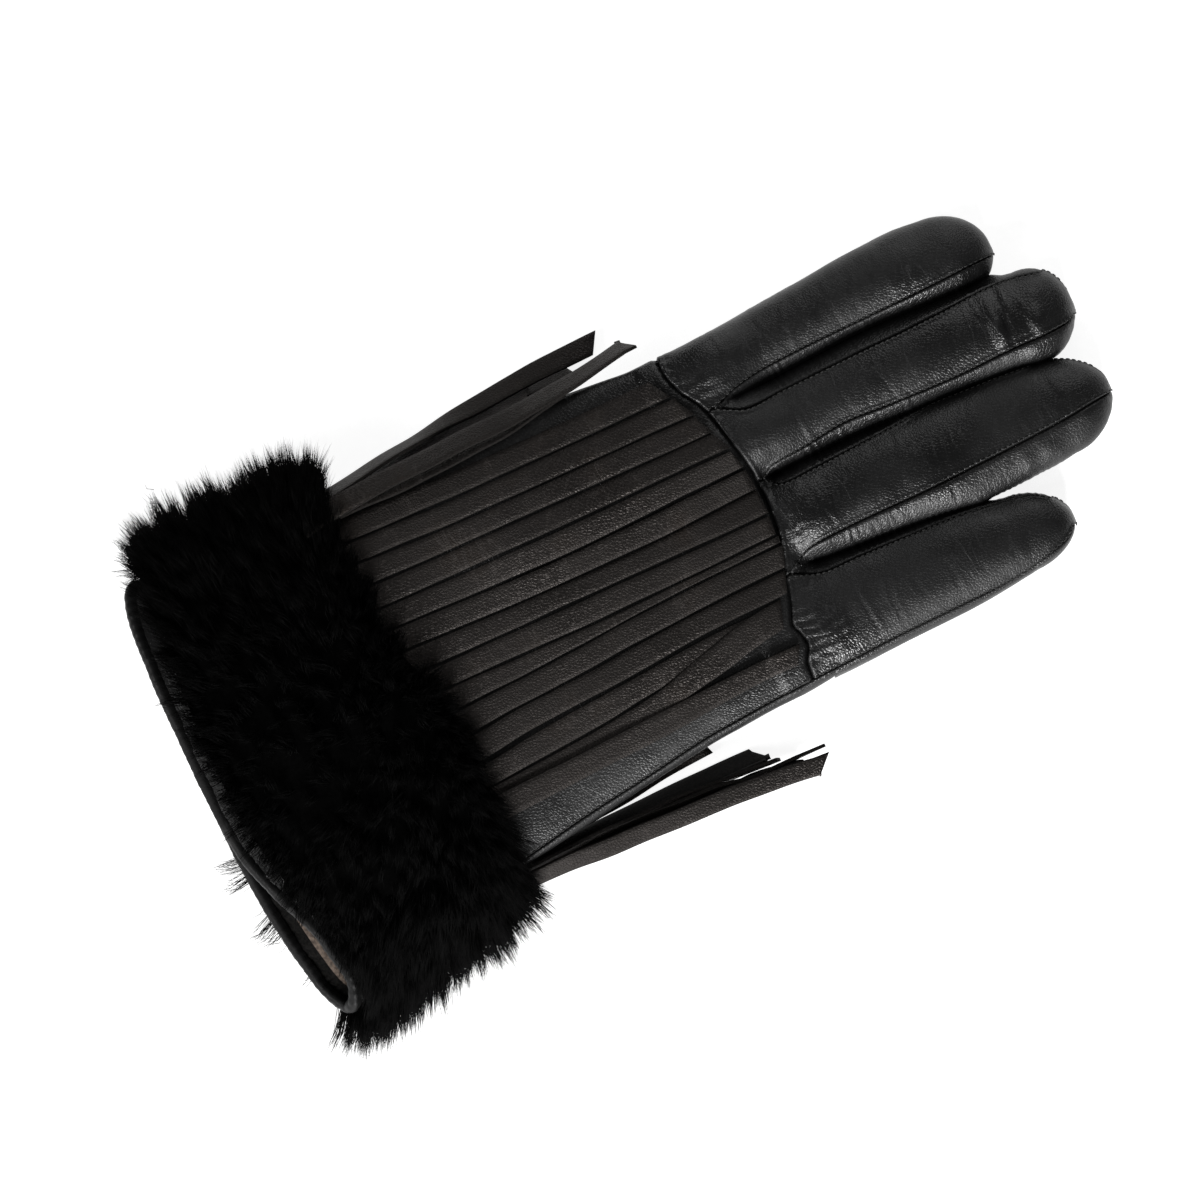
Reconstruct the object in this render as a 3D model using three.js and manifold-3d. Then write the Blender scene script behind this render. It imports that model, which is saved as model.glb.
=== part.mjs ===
// A right-hand dress glove of black leather, lying palm down, with a fringe over its back and a fur cuff.
// Millimetres, +Z up, +Y to the fingertips, +X to the little finger.
// The origin is on the surface that the glove rests on, under the middle of the palm.

import * as THREE from 'three';
import { mergeVertices } from 'three/addons/utils/BufferGeometryUtils.js';
import Module from 'manifold-3d';

const wasm = await Module();
wasm.setup();

// Leather thicknesses and the clearances between pieces
const SHELL_WALL = 1.2;
const LINING_WALL = 1.0;
const STRIP_THICK = 1.0;
const STRIP_WIDTH = 5.6;
const SEAM_GAP = 0.3;
const LAY_GAP = 0.7; // between a strip's head and the leather that it lies on
const BACK_STRIP_GAP = 1.0; // under the strips on the back, above the creased leather
const MOUTH_GAP = 1.1; // between the rolled edge and the leather in it
const ROLL_RADIUS = 1.7; // the rolled leather edge of the cuff's mouth

// Section shape: where the widest point lies, how full the crown is, how much of the underside is flat
const WAIST = 0.4;
const HAND_CROWN = 0.55;
const FINGER_CROWN = 0.8;
const FLAT_UNDERSIDE = 1.3;
const HAND_SIDES = 28;
const FINGER_SIDES = 12;

// The thumb is folded under the palm and lifts the glove above it
const THUMB_LIFT = 5.8;
const LIFT_ON_TOP = 0.42; // share of the lift that reaches the back of the hand
const LIFT_X = { full: -16, none: -6 };
const LIFT_Y = { startNone: -36, startFull: -10, endFull: 45, endNone: 60 };

// Height of the side seams above the underside, and of the wall below the little finger's side seam
const LOW_SEAM = 3.0;
const OUTER_RISE = 4.2;
// The side seams' surface steps up to that wall between these distances inside the outer seam
const OUTER_STEP = { start: 5, end: 3 };

// Bounds well outside the glove, for the bodies that cut it
const BEYOND = { left: -90, right: 110, back: -140, front: 160, low: -20, high: 60 };

// The hand and cuff: one flattened tube
const HAND = [
  { y: -114, left: -49.0, right: 66.0, bottom: 4.8, top: 15.5 },
  { y: -80, left: -48.8, right: 60.8, bottom: 5.0, top: 17.5 },
  { y: -50, left: -48.2, right: 53.2, bottom: 4.8, top: 17.8 },
  { y: -36, left: -47.8, right: 51.2, bottom: 3.2, top: 17.2 },
  { y: -22, left: -47.5, right: 49.2, bottom: 0.8, top: 16.4 },
  { y: -10, left: -47.2, right: 47.4, bottom: 0.0, top: 16.0 },
  { y: 10, left: -46.6, right: 45.0, bottom: 0.0, top: 15.4 },
  { y: 28, left: -44.9, right: 43.4, bottom: 0.0, top: 14.8 },
  { y: 38, left: -44.2, right: 42.9, bottom: 0.0, top: 13.8 },
  { y: 45, left: -42.5, right: 41.5, bottom: 1.0, top: 12.4 },
  { y: 50, left: -39.0, right: 38.0, bottom: 3.4, top: 9.4 },
];

// The four fingers: outline, the two seams on the back and the height at each section
const FINGERS = {
  index: [
    { y: 28, left: -43.4, seamLeft: -60, seamRight: -27.6, right: -27.2, bottom: 0, top: 13.2 },
    { y: 44, left: -44.6, seamLeft: -60, seamRight: -28.3, right: -27.9, bottom: 0, top: 14.0 },
    { y: 50, left: -45.0, seamLeft: -60, seamRight: -30.0, right: -28.4, bottom: 0, top: 14.0 },
    { y: 60, left: -45.9, seamLeft: -60, seamRight: -31.5, right: -28.9, bottom: 0, top: 13.8 },
    { y: 86, left: -48.3, seamLeft: -60, seamRight: -32.1, right: -29.7, bottom: 0, top: 13.2 },
    { y: 100, left: -48.6, seamLeft: -60, seamRight: -32.5, right: -29.5, bottom: 0, top: 13.0 },
    { y: 110, left: -48.0, seamLeft: -60, seamRight: -32.7, right: -29.3, bottom: 0.2, top: 12.4 },
    { y: 116, left: -45.4, seamLeft: -60, seamRight: -33.0, right: -29.8, bottom: 1.2, top: 11.0 },
    { y: 119.2, left: -41.8, seamLeft: -60, seamRight: -33.4, right: -31.6, bottom: 2.8, top: 9.2 },
    { y: 120.4, left: -38.8, seamLeft: -60, seamRight: -34.0, right: -33.8, bottom: 4.4, top: 7.4 },
  ],
  middle: [
    { y: 28, left: -27.0, seamLeft: -26.6, seamRight: -8.6, right: -8.2, bottom: 0, top: 13.4 },
    { y: 44, left: -27.5, seamLeft: -26.8, seamRight: -8.6, right: -8.0, bottom: 0, top: 14.4 },
    { y: 50, left: -27.7, seamLeft: -24.6, seamRight: -9.5, right: -7.7, bottom: 0, top: 14.4 },
    { y: 60, left: -28.1, seamLeft: -25.0, seamRight: -10.6, right: -7.6, bottom: 0, top: 14.2 },
    { y: 72, left: -28.6, seamLeft: -25.3, seamRight: -11.5, right: -7.8, bottom: 0, top: 14.0 },
    { y: 86, left: -28.9, seamLeft: -25.7, seamRight: -11.0, right: -7.9, bottom: 0, top: 13.8 },
    { y: 100, left: -28.8, seamLeft: -26.0, seamRight: -10.5, right: -7.4, bottom: 0, top: 13.5 },
    { y: 112, left: -28.4, seamLeft: -26.5, seamRight: -10.5, right: -6.5, bottom: 0, top: 13.0 },
    { y: 120, left: -27.7, seamLeft: -26.1, seamRight: -10.4, right: -5.2, bottom: 0.2, top: 12.3 },
    { y: 126, left: -25.8, seamLeft: -25.1, seamRight: -10.5, right: -6.6, bottom: 1.4, top: 11.0 },
    { y: 130.4, left: -22.0, seamLeft: -22.6, seamRight: -10.9, right: -9.6, bottom: 3.2, top: 9.2 },
    { y: 132.4, left: -18.0, seamLeft: -19.4, seamRight: -12.0, right: -12.4, bottom: 4.8, top: 7.8 },
  ],
  ring: [
    { y: 28, left: -7.6, seamLeft: -7.0, seamRight: 13.8, right: 14.2, bottom: 0, top: 13.4 },
    { y: 44, left: -7.0, seamLeft: -6.4, seamRight: 13.8, right: 14.7, bottom: 0, top: 14.2 },
    { y: 50, left: -6.8, seamLeft: -4.7, seamRight: 12.2, right: 15.3, bottom: 0, top: 14.4 },
    { y: 72, left: -6.9, seamLeft: -5.6, seamRight: 11.4, right: 17.2, bottom: 0, top: 14.2 },
    { y: 86, left: -7.0, seamLeft: -6.3, seamRight: 11.2, right: 18.7, bottom: 0, top: 14.0 },
    { y: 100, left: -6.5, seamLeft: -6.6, seamRight: 10.9, right: 19.8, bottom: 0, top: 13.7 },
    { y: 112, left: -5.6, seamLeft: -6.2, seamRight: 10.4, right: 19.4, bottom: 0, top: 13.2 },
    { y: 120, left: -4.2, seamLeft: -5.2, seamRight: 9.9, right: 18.7, bottom: 0.2, top: 12.4 },
    { y: 126, left: -1.9, seamLeft: -3.0, seamRight: 9.5, right: 16.4, bottom: 1.4, top: 11.0 },
    { y: 130.2, left: 1.4, seamLeft: 0.0, seamRight: 9.2, right: 13.0, bottom: 3.2, top: 9.2 },
    { y: 132.0, left: 4.8, seamLeft: 3.0, seamRight: 8.8, right: 9.8, bottom: 4.8, top: 7.8 },
  ],
  little: [
    { y: 28, left: 15.0, seamLeft: 15.6, seamRight: 41.5, right: 42.6, bottom: 0, top: 13.2 },
    { y: 44, left: 15.6, seamLeft: 17.6, seamRight: 41.1, right: 43.0, bottom: 0, top: 13.6 },
    { y: 50, left: 16.2, seamLeft: 18.5, seamRight: 40.8, right: 42.9, bottom: 0, top: 13.6 },
    { y: 86, left: 19.5, seamLeft: 20.3, seamRight: 39.9, right: 41.5, bottom: 0, top: 12.8 },
    { y: 96, left: 20.8, seamLeft: 21.5, seamRight: 39.2, right: 40.6, bottom: 0, top: 12.2 },
    { y: 103, left: 22.6, seamLeft: 23.6, seamRight: 38.0, right: 39.3, bottom: 0.4, top: 11.3 },
    { y: 108.4, left: 25.6, seamLeft: 26.4, seamRight: 35.6, right: 36.8, bottom: 2.2, top: 9.6 },
    { y: 110.9, left: 28.8, seamLeft: 29.4, seamRight: 33.2, right: 33.6, bottom: 4.2, top: 7.6 },
  ],
};

// Where the two seams of each finger gap meet, just above the knuckle seam
const CROTCHES = [
  { left: 'index', right: 'middle', x: -27.7, y: 43.2 },
  { left: 'middle', right: 'ring', x: -7.5, y: 46.9 },
  { left: 'ring', right: 'little', x: 15.8, y: 43.0 },
];

// The seam over the knuckles
const KNUCKLE_SEAM = [
  { x: -60, y: 35.4 }, { x: -40, y: 35.6 }, { x: -31, y: 39.8 }, { x: -27, y: 41.9 },
  { x: -20, y: 44.0 }, { x: -8, y: 46.0 }, { x: 0, y: 45.8 }, { x: 6, y: 45.0 },
  { x: 16, y: 41.9 }, { x: 27, y: 38.4 }, { x: 33, y: 39.3 }, { x: 37, y: 37.8 }, { x: 60, y: 36.8 },
];

// The seam along the little finger's side of the hand, below the finger
const OUTER_SEAM = [
  { y: -120, x: 65.0 }, { y: -90, x: 61.0 }, { y: -60, x: 53.8 }, { y: -38, x: 49.8 },
  { y: -20, x: 47.3 }, { y: 0, x: 44.4 }, { y: 20, x: 42.0 }, { y: 36, x: 41.2 },
];

// The thumb, folded forward under the palm
const THUMB = [
  { y: -38, left: -42.0, right: -24.0, bottom: 5.0, top: 12.0 },
  { y: -25, left: -45.5, right: -22.5, bottom: 1.4, top: 8.6 },
  { y: -12, left: -46.3, right: -22.0, bottom: 0.0, top: 5.6 },
  { y: 6, left: -45.2, right: -21.2, bottom: 0.0, top: 5.2 },
  { y: 22, left: -42.0, right: -19.8, bottom: 0.0, top: 5.2 },
  { y: 34, left: -38.8, right: -19.4, bottom: 0.0, top: 5.1 },
  { y: 40, left: -36.2, right: -20.4, bottom: 0.4, top: 4.7 },
  { y: 43.4, left: -32.6, right: -23.0, bottom: 1.2, top: 4.0 },
];

// The cuff's mouth: its lower edge reaches further back than its upper edge near the little finger's side
const MOUTH = [
  { x: -49, lower: -99.5, upper: -99.5 },
  { x: -46, lower: -102.6, upper: -102.4 },
  { x: -38, lower: -104.6, upper: -104.2 },
  { x: -10, lower: -105.6, upper: -105.0 },
  { x: 20, lower: -105.4, upper: -104.0 },
  { x: 34, lower: -104.6, upper: -100.6 },
  { x: 45, lower: -103.2, upper: -96.0 },
  { x: 56, lower: -101.0, upper: -94.2 },
  { x: 66, lower: -98.2, upper: -95.0 },
];
// The step from the lower edge to the upper one: its share at each height
const MOUTH_STEP = [
  { z: BEYOND.low, share: 0 }, { z: 7, share: 0.1 }, { z: 14, share: 0.9 }, { z: BEYOND.high, share: 1 },
];
const FACING_DEPTH = 8;
const LINING_END = -56;

// Fringe on the back: each strip's centre where it leaves the fur, half way, and at its cut end
const BACK_STRIPS = [
  { root: -38.4, half: -37.4, tip: -37.4, tipY: 33.5, cut: 1.4, width: 5.4 },
  { root: -32.8, half: -31.5, tip: -31.4, tipY: 36.2, cut: 1.6, width: 5.4 },
  { root: -27.0, half: -25.8, tip: -25.4, tipY: 38.4, cut: 1.5, width: 5.1 },
  { root: -21.2, half: -20.2, tip: -19.9, tipY: 40.6, cut: 1.1, width: 4.9 },
  { root: -15.3, half: -14.3, tip: -14.4, tipY: 42.4, cut: 0.6, width: 5.5 },
  { root: -9.2, half: -8.2, tip: -8.8, tipY: 43.4, cut: 0.3, width: 5.6 },
  { root: -3.1, half: -2.4, tip: -2.4, tipY: 43.2, cut: -0.3, width: 5.3 },
  { root: 3.1, half: 3.4, tip: 3.5, tipY: 42.8, cut: -0.2, width: 5.6 },
  { root: 9.2, half: 9.6, tip: 10.7, tipY: 42.6, cut: -1.2, width: 5.6 },
  { root: 15.3, half: 17.6, tip: 16.9, tipY: 40.4, cut: -0.9, width: 5.5 },
  { root: 21.6, half: 24.6, tip: 24.0, tipY: 37.4, cut: -1.4, width: 6.2 },
  { root: 28.2, half: 31.2, tip: 31.3, tipY: 4.0, cut: -1.5, width: 5.6 },
  { root: 35.8, half: 35.8, tip: 35.2, tipY: 32.0, cut: -1.2, width: 6.2 },
];
const BACK_HEAD = { left: -42.5, right: 40.5, front: -52, back: -60 };
const HEAD_THICK = 1.2;
const HEAD_TUCK = 0.1; // the head starts a little below the strips, so that they are one body
const SIDE_ROOT_END = -49;
// The side strips' head bands, in degrees round the wrist
const THUMB_SIDE_HEAD = { from: 158, to: 190 };
const LITTLE_SIDE_HEAD = { from: 40, to: -34 };

// Loose strips at the two sides: the place of the root round the wrist in degrees,
// then centre, height and roll (0 flat, 90 on edge) along each
const THUMB_SIDE_STRIPS = {
  strip_a: { root: 168, cut: -1.4, rows: [
    { y: -40, x: -49.2, z: 11.8, roll: 70 },
    { y: -26, x: -50.3, z: 9.4, roll: 64 }, { y: -10, x: -52.9, z: 6.4, roll: 48 },
    { y: 6, x: -54.2, z: 3.6, roll: 26 }, { y: 23.4, x: -54.6, z: 1.6, roll: 12 },
  ] },
  strip_b: { root: 158, cut: 2.4, rows: [
    { y: -40, x: -45.0, z: 17.6, roll: 22 },
    { y: -20, x: -46.4, z: 17.8, roll: 26 }, { y: 0, x: -47.2, z: 17.2, roll: 32 },
    { y: 14, x: -48.4, z: 15.0, roll: 36 }, { y: 30.4, x: -50.2, z: 11.0, roll: 40 },
  ] },
  strip_c: { root: 182, cut: 1.2, rows: [
    { y: -38, x: -50.7, z: 6.2, roll: 84 },
    { y: -20, x: -52.0, z: 4.0, roll: 62 }, { y: -4, x: -51.6, z: 3.0, roll: 52 },
    { y: 16.4, x: -50.6, z: 2.6, roll: 44 },
  ] },
};
const LITTLE_SIDE_STRIPS = {
  strip_a: { root: 8, cut: -2.4, rows: [
    { y: -30, x: 56.4, z: 9.0, roll: -22 }, { y: -10, x: 57.6, z: 8.0, roll: -8 },
    { y: 8, x: 58.3, z: 7.4, roll: -4 }, { y: 31, x: 60.9, z: 6.6, roll: -8 },
  ] },
  strip_b: { root: -6, cut: -0.4, rows: [
    { y: -24, x: 55.9, z: 3.6, roll: -84 }, { y: 0, x: 56.0, z: 3.3, roll: -88 },
    { y: 18, x: 56.2, z: 3.3, roll: -89 }, { y: 32.6, x: 56.4, z: 3.3, roll: -90 },
  ] },
  strip_c: { root: 20, cut: 0.5, rows: [
    { y: -42, x: 54.4, z: 11.8, roll: -66 }, { y: -24, x: 53.4, z: 6.4, roll: -72 },
    { y: 0, x: 53.4, z: 3.6, roll: -76 },
    { y: 21.5, x: 54.3, z: 3.4, roll: -80 },
  ] },
  strip_d: { root: -20, cut: 2.4, rows: [
    { y: -24, x: 51.6, z: 3.0, roll: -112 }, { y: 0, x: 51.3, z: 3.3, roll: -100 },
    { y: 17.6, x: 51.8, z: 3.2, roll: -116 },
  ] },
};

// Fur: reach of the dense pile and of its locks, outward from the leather
const FUR = {
  columns: 60, rows: 9, pile: 5.2, lockTop: 8.0, lockSide: 11.5, backing: 0.5, overHead: 3.2, rim: 0.9,
};
// Where along the fur its hide comes down from the fringe's head bands to the leather, and the section
// that its columns are spread round
const HIDE_STEP = { start: 0.36, end: 0.62 };
const FUR_MIDDLE = -70;
// The fur's front and back edges by side: on the back of the hand and beneath it
const FUR_EDGES = [
  { x: -49, frontTop: -53.5, frontUnder: -53, back: -95.5 },
  { x: -25, frontTop: -52.5, frontUnder: -52, back: -99.5 },
  { x: -5, frontTop: -50.5, frontUnder: -51, back: -100.0 },
  { x: 8, frontTop: -47.0, frontUnder: -50, back: -99.5 },
  { x: 22, frontTop: -45.0, frontUnder: -50, back: -97.5 },
  { x: 40, frontTop: -46.5, frontUnder: -49, back: -93.0 },
  { x: 56, frontTop: -48.0, frontUnder: -49, back: -89.5 },
];

// Colours as the materials state them
const LEATHERS = {
  gloss: { color: 0x141414, roughness: 0.38, metalness: 0 },
  matte: { color: 0x1b1919, roughness: 0.6, metalness: 0 },
  fur: { color: 0x050505, roughness: 0.9, metalness: 0 },
  lining: { color: 0x6b5748, roughness: 0.95, metalness: 0 },
};

const smoothStep = (t) => {
  const c = Math.min(1, Math.max(0, t));
  return c * c * (3 - 2 * c);
};
const mix = (a, b, t) => a + (b - a) * t;

// A column of a table as a smooth curve through its rows
function curve(rows, key, column) {
  const slope = (i) => {
    const a = rows[Math.max(0, i - 1)];
    const b = rows[Math.min(rows.length - 1, i + 1)];
    return (b[column] - a[column]) / (b[key] - a[key]);
  };
  return (at) => {
    let i = 0;
    while (i < rows.length - 2 && rows[i + 1][key] < at) i++;
    const a = rows[i];
    const b = rows[i + 1];
    const span = b[key] - a[key];
    const t = Math.min(1, Math.max(0, (at - a[key]) / span));
    const t2 = t * t;
    const t3 = t2 * t;
    return (2 * t3 - 3 * t2 + 1) * a[column] + (t3 - 2 * t2 + t) * span * slope(i)
      + (3 * t2 - 2 * t3) * b[column] + (t3 - t2) * span * slope(i + 1);
  };
}

// Straight lines between rows, for edges that the cuts must share exactly
function line(rows, key, column) {
  return (at) => {
    let i = 0;
    while (i < rows.length - 2 && rows[i + 1][key] < at) i++;
    const a = rows[i];
    const b = rows[i + 1];
    return mix(a[column], b[column], Math.min(1, Math.max(0, (at - a[key]) / (b[key] - a[key]))));
  };
}

const hand = Object.fromEntries(
  ['left', 'right', 'bottom', 'top'].map((c) => [c, curve(HAND, 'y', c)]),
);

const sectionSize = (y) => ({
  left: hand.left(y), right: hand.right(y), bottom: hand.bottom(y), top: hand.top(y),
});

// How far the thumb beneath lifts the palm at a point
function lift(x, y) {
  const across = 1 - smoothStep((x - LIFT_X.full) / (LIFT_X.none - LIFT_X.full));
  const start = smoothStep((y - LIFT_Y.startNone) / (LIFT_Y.startFull - LIFT_Y.startNone));
  const end = 1 - smoothStep((y - LIFT_Y.endFull) / (LIFT_Y.endNone - LIFT_Y.endFull));
  return THUMB_LIFT * across * start * end;
}

// One point of a section: angle 0 at the little finger's side, a quarter turn at the crown
function sectionPoint(y, size, angle, crown, inset, lifted = true) {
  const left = size.left + inset;
  const right = size.right - inset;
  const bottom = size.bottom + inset;
  const top = size.top - inset;
  const waist = mix(bottom, top, WAIST);
  const across = Math.cos(angle);
  const up = Math.sin(angle);
  const x = (left + right) / 2 + (right - left) / 2 * across;
  const full = Math.abs(up) ** crown;
  const z = up >= 0
    ? waist + (top - waist) * full
    : waist - (waist - bottom) * Math.min(1, FLAT_UNDERSIDE * full);
  const share = up >= 0 ? 1 - (1 - LIFT_ON_TOP) * full : 1;
  return new THREE.Vector3(x, y, z + (lifted ? lift(x, y) * share : 0));
}

function sectionRing(y, size, count, crown, inset, lifted) {
  return Array.from({ length: count }, (_, k) => (
    sectionPoint(y, size, 2 * Math.PI * (k + 0.5) / count, crown, inset, lifted)
  ));
}

// A closed body through rings of equal, even point counts: flat ends by default, or closed into a torus
function loft(rings, { ringed = false } = {}) {
  const count = rings[0].length;
  const positions = rings.flat().flatMap((p) => [p.x, p.y, p.z]);
  const faces = [];
  const spans = ringed ? rings.length : rings.length - 1;
  for (let i = 0; i < spans; i++) {
    const a = i * count;
    const b = ((i + 1) % rings.length) * count;
    for (let k = 0; k < count; k++) {
      const n = (k + 1) % count;
      faces.push([a + k, a + n, b + n], [a + k, b + n, b + k]);
    }
  }
  if (!ringed) {
    // An end is a ladder between the first and second half of its ring
    const last = (rings.length - 1) * count;
    for (let k = 0; k < count / 2 - 1; k++) {
      const [p, q, r, s] = [k, k + 1, count - 2 - k, count - 1 - k];
      faces.push([q, p, r], [r, p, s], [last + p, last + q, last + r], [last + p, last + r, last + s]);
    }
  }
  const geometry = new THREE.BufferGeometry();
  geometry.setAttribute('position', new THREE.Float32BufferAttribute(positions, 3));
  geometry.setIndex(faces.flat());
  return outward(geometry);
}

// Turns every face over if the body is inside out
function outward(geometry) {
  const at = geometry.getAttribute('position');
  const index = geometry.getIndex();
  const corner = [new THREE.Vector3(), new THREE.Vector3(), new THREE.Vector3()];
  let volume = 0;
  for (let i = 0; i < index.count; i += 3) {
    corner.forEach((c, k) => c.fromBufferAttribute(at, index.getX(i + k)));
    volume += corner[0].dot(corner[1].clone().cross(corner[2]));
  }
  if (volume < 0) {
    for (let i = 0; i < index.count; i += 3) {
      const first = index.getX(i);
      index.setX(i, index.getX(i + 1));
      index.setX(i + 1, first);
    }
  }
  return geometry;
}

function solidOf(geometry) {
  const bare = geometry.clone();
  ['normal', 'uv'].forEach((name) => bare.deleteAttribute(name));
  const merged = mergeVertices(bare, 1e-4);
  return new wasm.Manifold(new wasm.Mesh({
    numProp: 3,
    vertProperties: new Float32Array(merged.getAttribute('position').array),
    triVerts: new Uint32Array(merged.getIndex().array),
  }));
}

function geometryOf(solid) {
  const mesh = solid.getMesh();
  const geometry = new THREE.BufferGeometry();
  geometry.setAttribute('position', new THREE.Float32BufferAttribute(mesh.vertProperties, 3));
  geometry.setIndex(Array.from(mesh.triVerts));
  geometry.computeVertexNormals();
  return geometry;
}

const joined = (solids) => solids.reduce((a, b) => a.add(b));

// An upright prism over an outline of [x, y] pairs
function prism(outline, { low, high } = BEYOND) {
  const shape = new THREE.Shape(outline.map(([x, y]) => new THREE.Vector2(x, y)));
  const geometry = new THREE.ExtrudeGeometry(shape, { depth: high - low, bevelEnabled: false });
  return solidOf(geometry.translate(0, 0, low));
}

// Everything above the low side seams, raised or lowered by a clearance
function aboveSideSeams(clearance) {
  const ys = [...HAND.map((row) => row.y), LIFT_Y.endNone, 86, 100, BEYOND.front];
  const outerX = line([...OUTER_SEAM, ...littleSeam()], 'y', 'x');
  return solidOf(loft(ys.map((y) => {
    const level = hand.bottom(Math.min(y, 30)) + LOW_SEAM + clearance;
    const base = [BEYOND.left, LIFT_X.full, LIFT_X.none, outerX(y) - OUTER_STEP.start].map((x) => (
      new THREE.Vector3(x, y, level + lift(x, y))
    ));
    const raised = [outerX(y) - OUTER_STEP.end, BEYOND.right].map((x) => (
      new THREE.Vector3(x, y, level + OUTER_RISE)
    ));
    const floor = [...base, ...raised];
    return [...floor, ...floor.map((p) => p.clone().setZ(BEYOND.high)).reverse()];
  })));
}

// The hand side of the cuff's mouth, drawn back from its edge by a distance
function insideMouth(setback) {
  const xs = [BEYOND.left, ...MOUTH.map((row) => row.x), BEYOND.right];
  const [lower, upper] = ['lower', 'upper'].map((column) => line(MOUTH, 'x', column));
  return solidOf(loft(MOUTH_STEP.map(({ z, share }) => [
    ...xs.map((x) => new THREE.Vector3(x, mix(lower(x), upper(x), share) + setback, z)),
    ...xs.map((x) => new THREE.Vector3(x, BEYOND.front, z)).reverse(),
  ])));
}

// The little finger's outer seam, from the hand to past the tip
function littleSeam() {
  const rows = FINGERS.little.filter((row) => row.y > 40).map(({ y, seamRight }) => ({ y, x: seamRight }));
  return [...rows, { y: BEYOND.front, x: rows.at(-1).x }];
}

// The largest of a cut's bodies: a seam may leave crumbs where it runs along a wall
const largest = (solid) => solid.decompose().reduce((a, b) => (b.volume() > a.volume() ? b : a));

function handBody(inset) {
  return solidOf(loft(HAND.map((row, i) => {
    const end = i === HAND.length - 1 ? inset : 0;
    return sectionRing(row.y - end, row, HAND_SIDES, HAND_CROWN, inset);
  })));
}

function fingerBody(rows, inset) {
  const tip = rows.at(-1).y;
  return solidOf(loft(rows.map((row) => {
    const y = row.y > tip - 8 ? row.y - inset : row.y;
    const most = Math.min(row.right - row.left, row.top - row.bottom) / 2 - 0.3;
    return sectionRing(y, row, FINGER_SIDES, FINGER_CROWN, Math.min(inset, most));
  })));
}

function thumbBody(inset) {
  const tip = THUMB.at(-1).y;
  return solidOf(loft(THUMB.map((row) => {
    const y = row.y > tip - 6 ? row.y - inset : row.y;
    return sectionRing(y, row, FINGER_SIDES, FINGER_CROWN, inset, false);
  })));
}

const gloveBody = (inset) => joined([
  handBody(inset), ...Object.values(FINGERS).map((rows) => fingerBody(rows, inset)),
]);

// Plan outline of the leather between two fingers, from the crotch to past the tips
function gapOutline(crotch, grow) {
  const start = crotch.y + 2;
  const leftRows = FINGERS[crotch.left].filter((row) => row.y > start);
  const rightRows = FINGERS[crotch.right].filter((row) => row.y > start);
  return [
    [crotch.x, crotch.y - grow],
    ...rightRows.map((row) => [row.seamLeft + grow, row.y]),
    [rightRows.at(-1).seamLeft + grow, BEYOND.front],
    [leftRows.at(-1).seamRight - grow, BEYOND.front],
    ...leftRows.map((row) => [row.seamRight - grow, row.y]).reverse(),
  ];
}

// Plan region outside the seam along the little finger's side
function outerSide(grow) {
  const seam = [...OUTER_SEAM, ...littleSeam()].map((row) => [row.x - grow, row.y]);
  return prism([...seam, [BEYOND.right, BEYOND.front], [BEYOND.right, OUTER_SEAM[0].y]]);
}

function backOfHand(grow) {
  return prism([
    ...KNUCKLE_SEAM.map((row) => [row.x, row.y + grow]),
    [BEYOND.right, KNUCKLE_SEAM.at(-1).y + grow], [BEYOND.right, BEYOND.back],
    [BEYOND.left, BEYOND.back], [BEYOND.left, KNUCKLE_SEAM[0].y + grow],
  ]);
}

// The leather shell, cut along its seams into the pieces that it is sewn from
function shellPieces() {
  const half = SEAM_GAP / 2;
  const mouth = insideMouth(ROLL_RADIUS + MOUTH_GAP);
  const thumbRoom = thumbBody(SHELL_WALL);
  const shell = gloveBody(0).subtract(gloveBody(SHELL_WALL)).intersect(mouth);
  const gaps = CROTCHES.map((crotch) => prism(gapOutline(crotch, -half)));
  const gapsGrown = joined(CROTCHES.map((crotch) => prism(gapOutline(crotch, half))));
  const upper = shell.intersect(aboveSideSeams(half)).subtract(outerSide(half));
  const lower = shell.subtract(aboveSideSeams(-half).subtract(outerSide(-half)));
  const fingers = upper.subtract(backOfHand(half));
  const pieces = {
    palm: largest(lower.subtract(thumbRoom)),
    hand_back: largest(upper.intersect(backOfHand(-half))),
    finger_backs: largest(fingers.subtract(gapsGrown)),
  };
  CROTCHES.forEach((crotch, i) => {
    pieces[`fourchette_${crotch.left}_${crotch.right}`] = largest(fingers.intersect(gaps[i]));
  });
  return pieces;
}

function thumbPiece() {
  return thumbBody(0).subtract(thumbBody(SHELL_WALL)).subtract(handBody(-SEAM_GAP));
}

// A tube of lining or facing inside the cuff
function innerTube(outerInset, wall, setback, deepEnd) {
  const { left, right, back } = BEYOND;
  const deep = prism([[left, deepEnd], [right, deepEnd], [right, back], [left, back]]);
  return handBody(outerInset).subtract(handBody(outerInset + wall))
    .intersect(insideMouth(setback)).intersect(deep);
}

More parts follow.
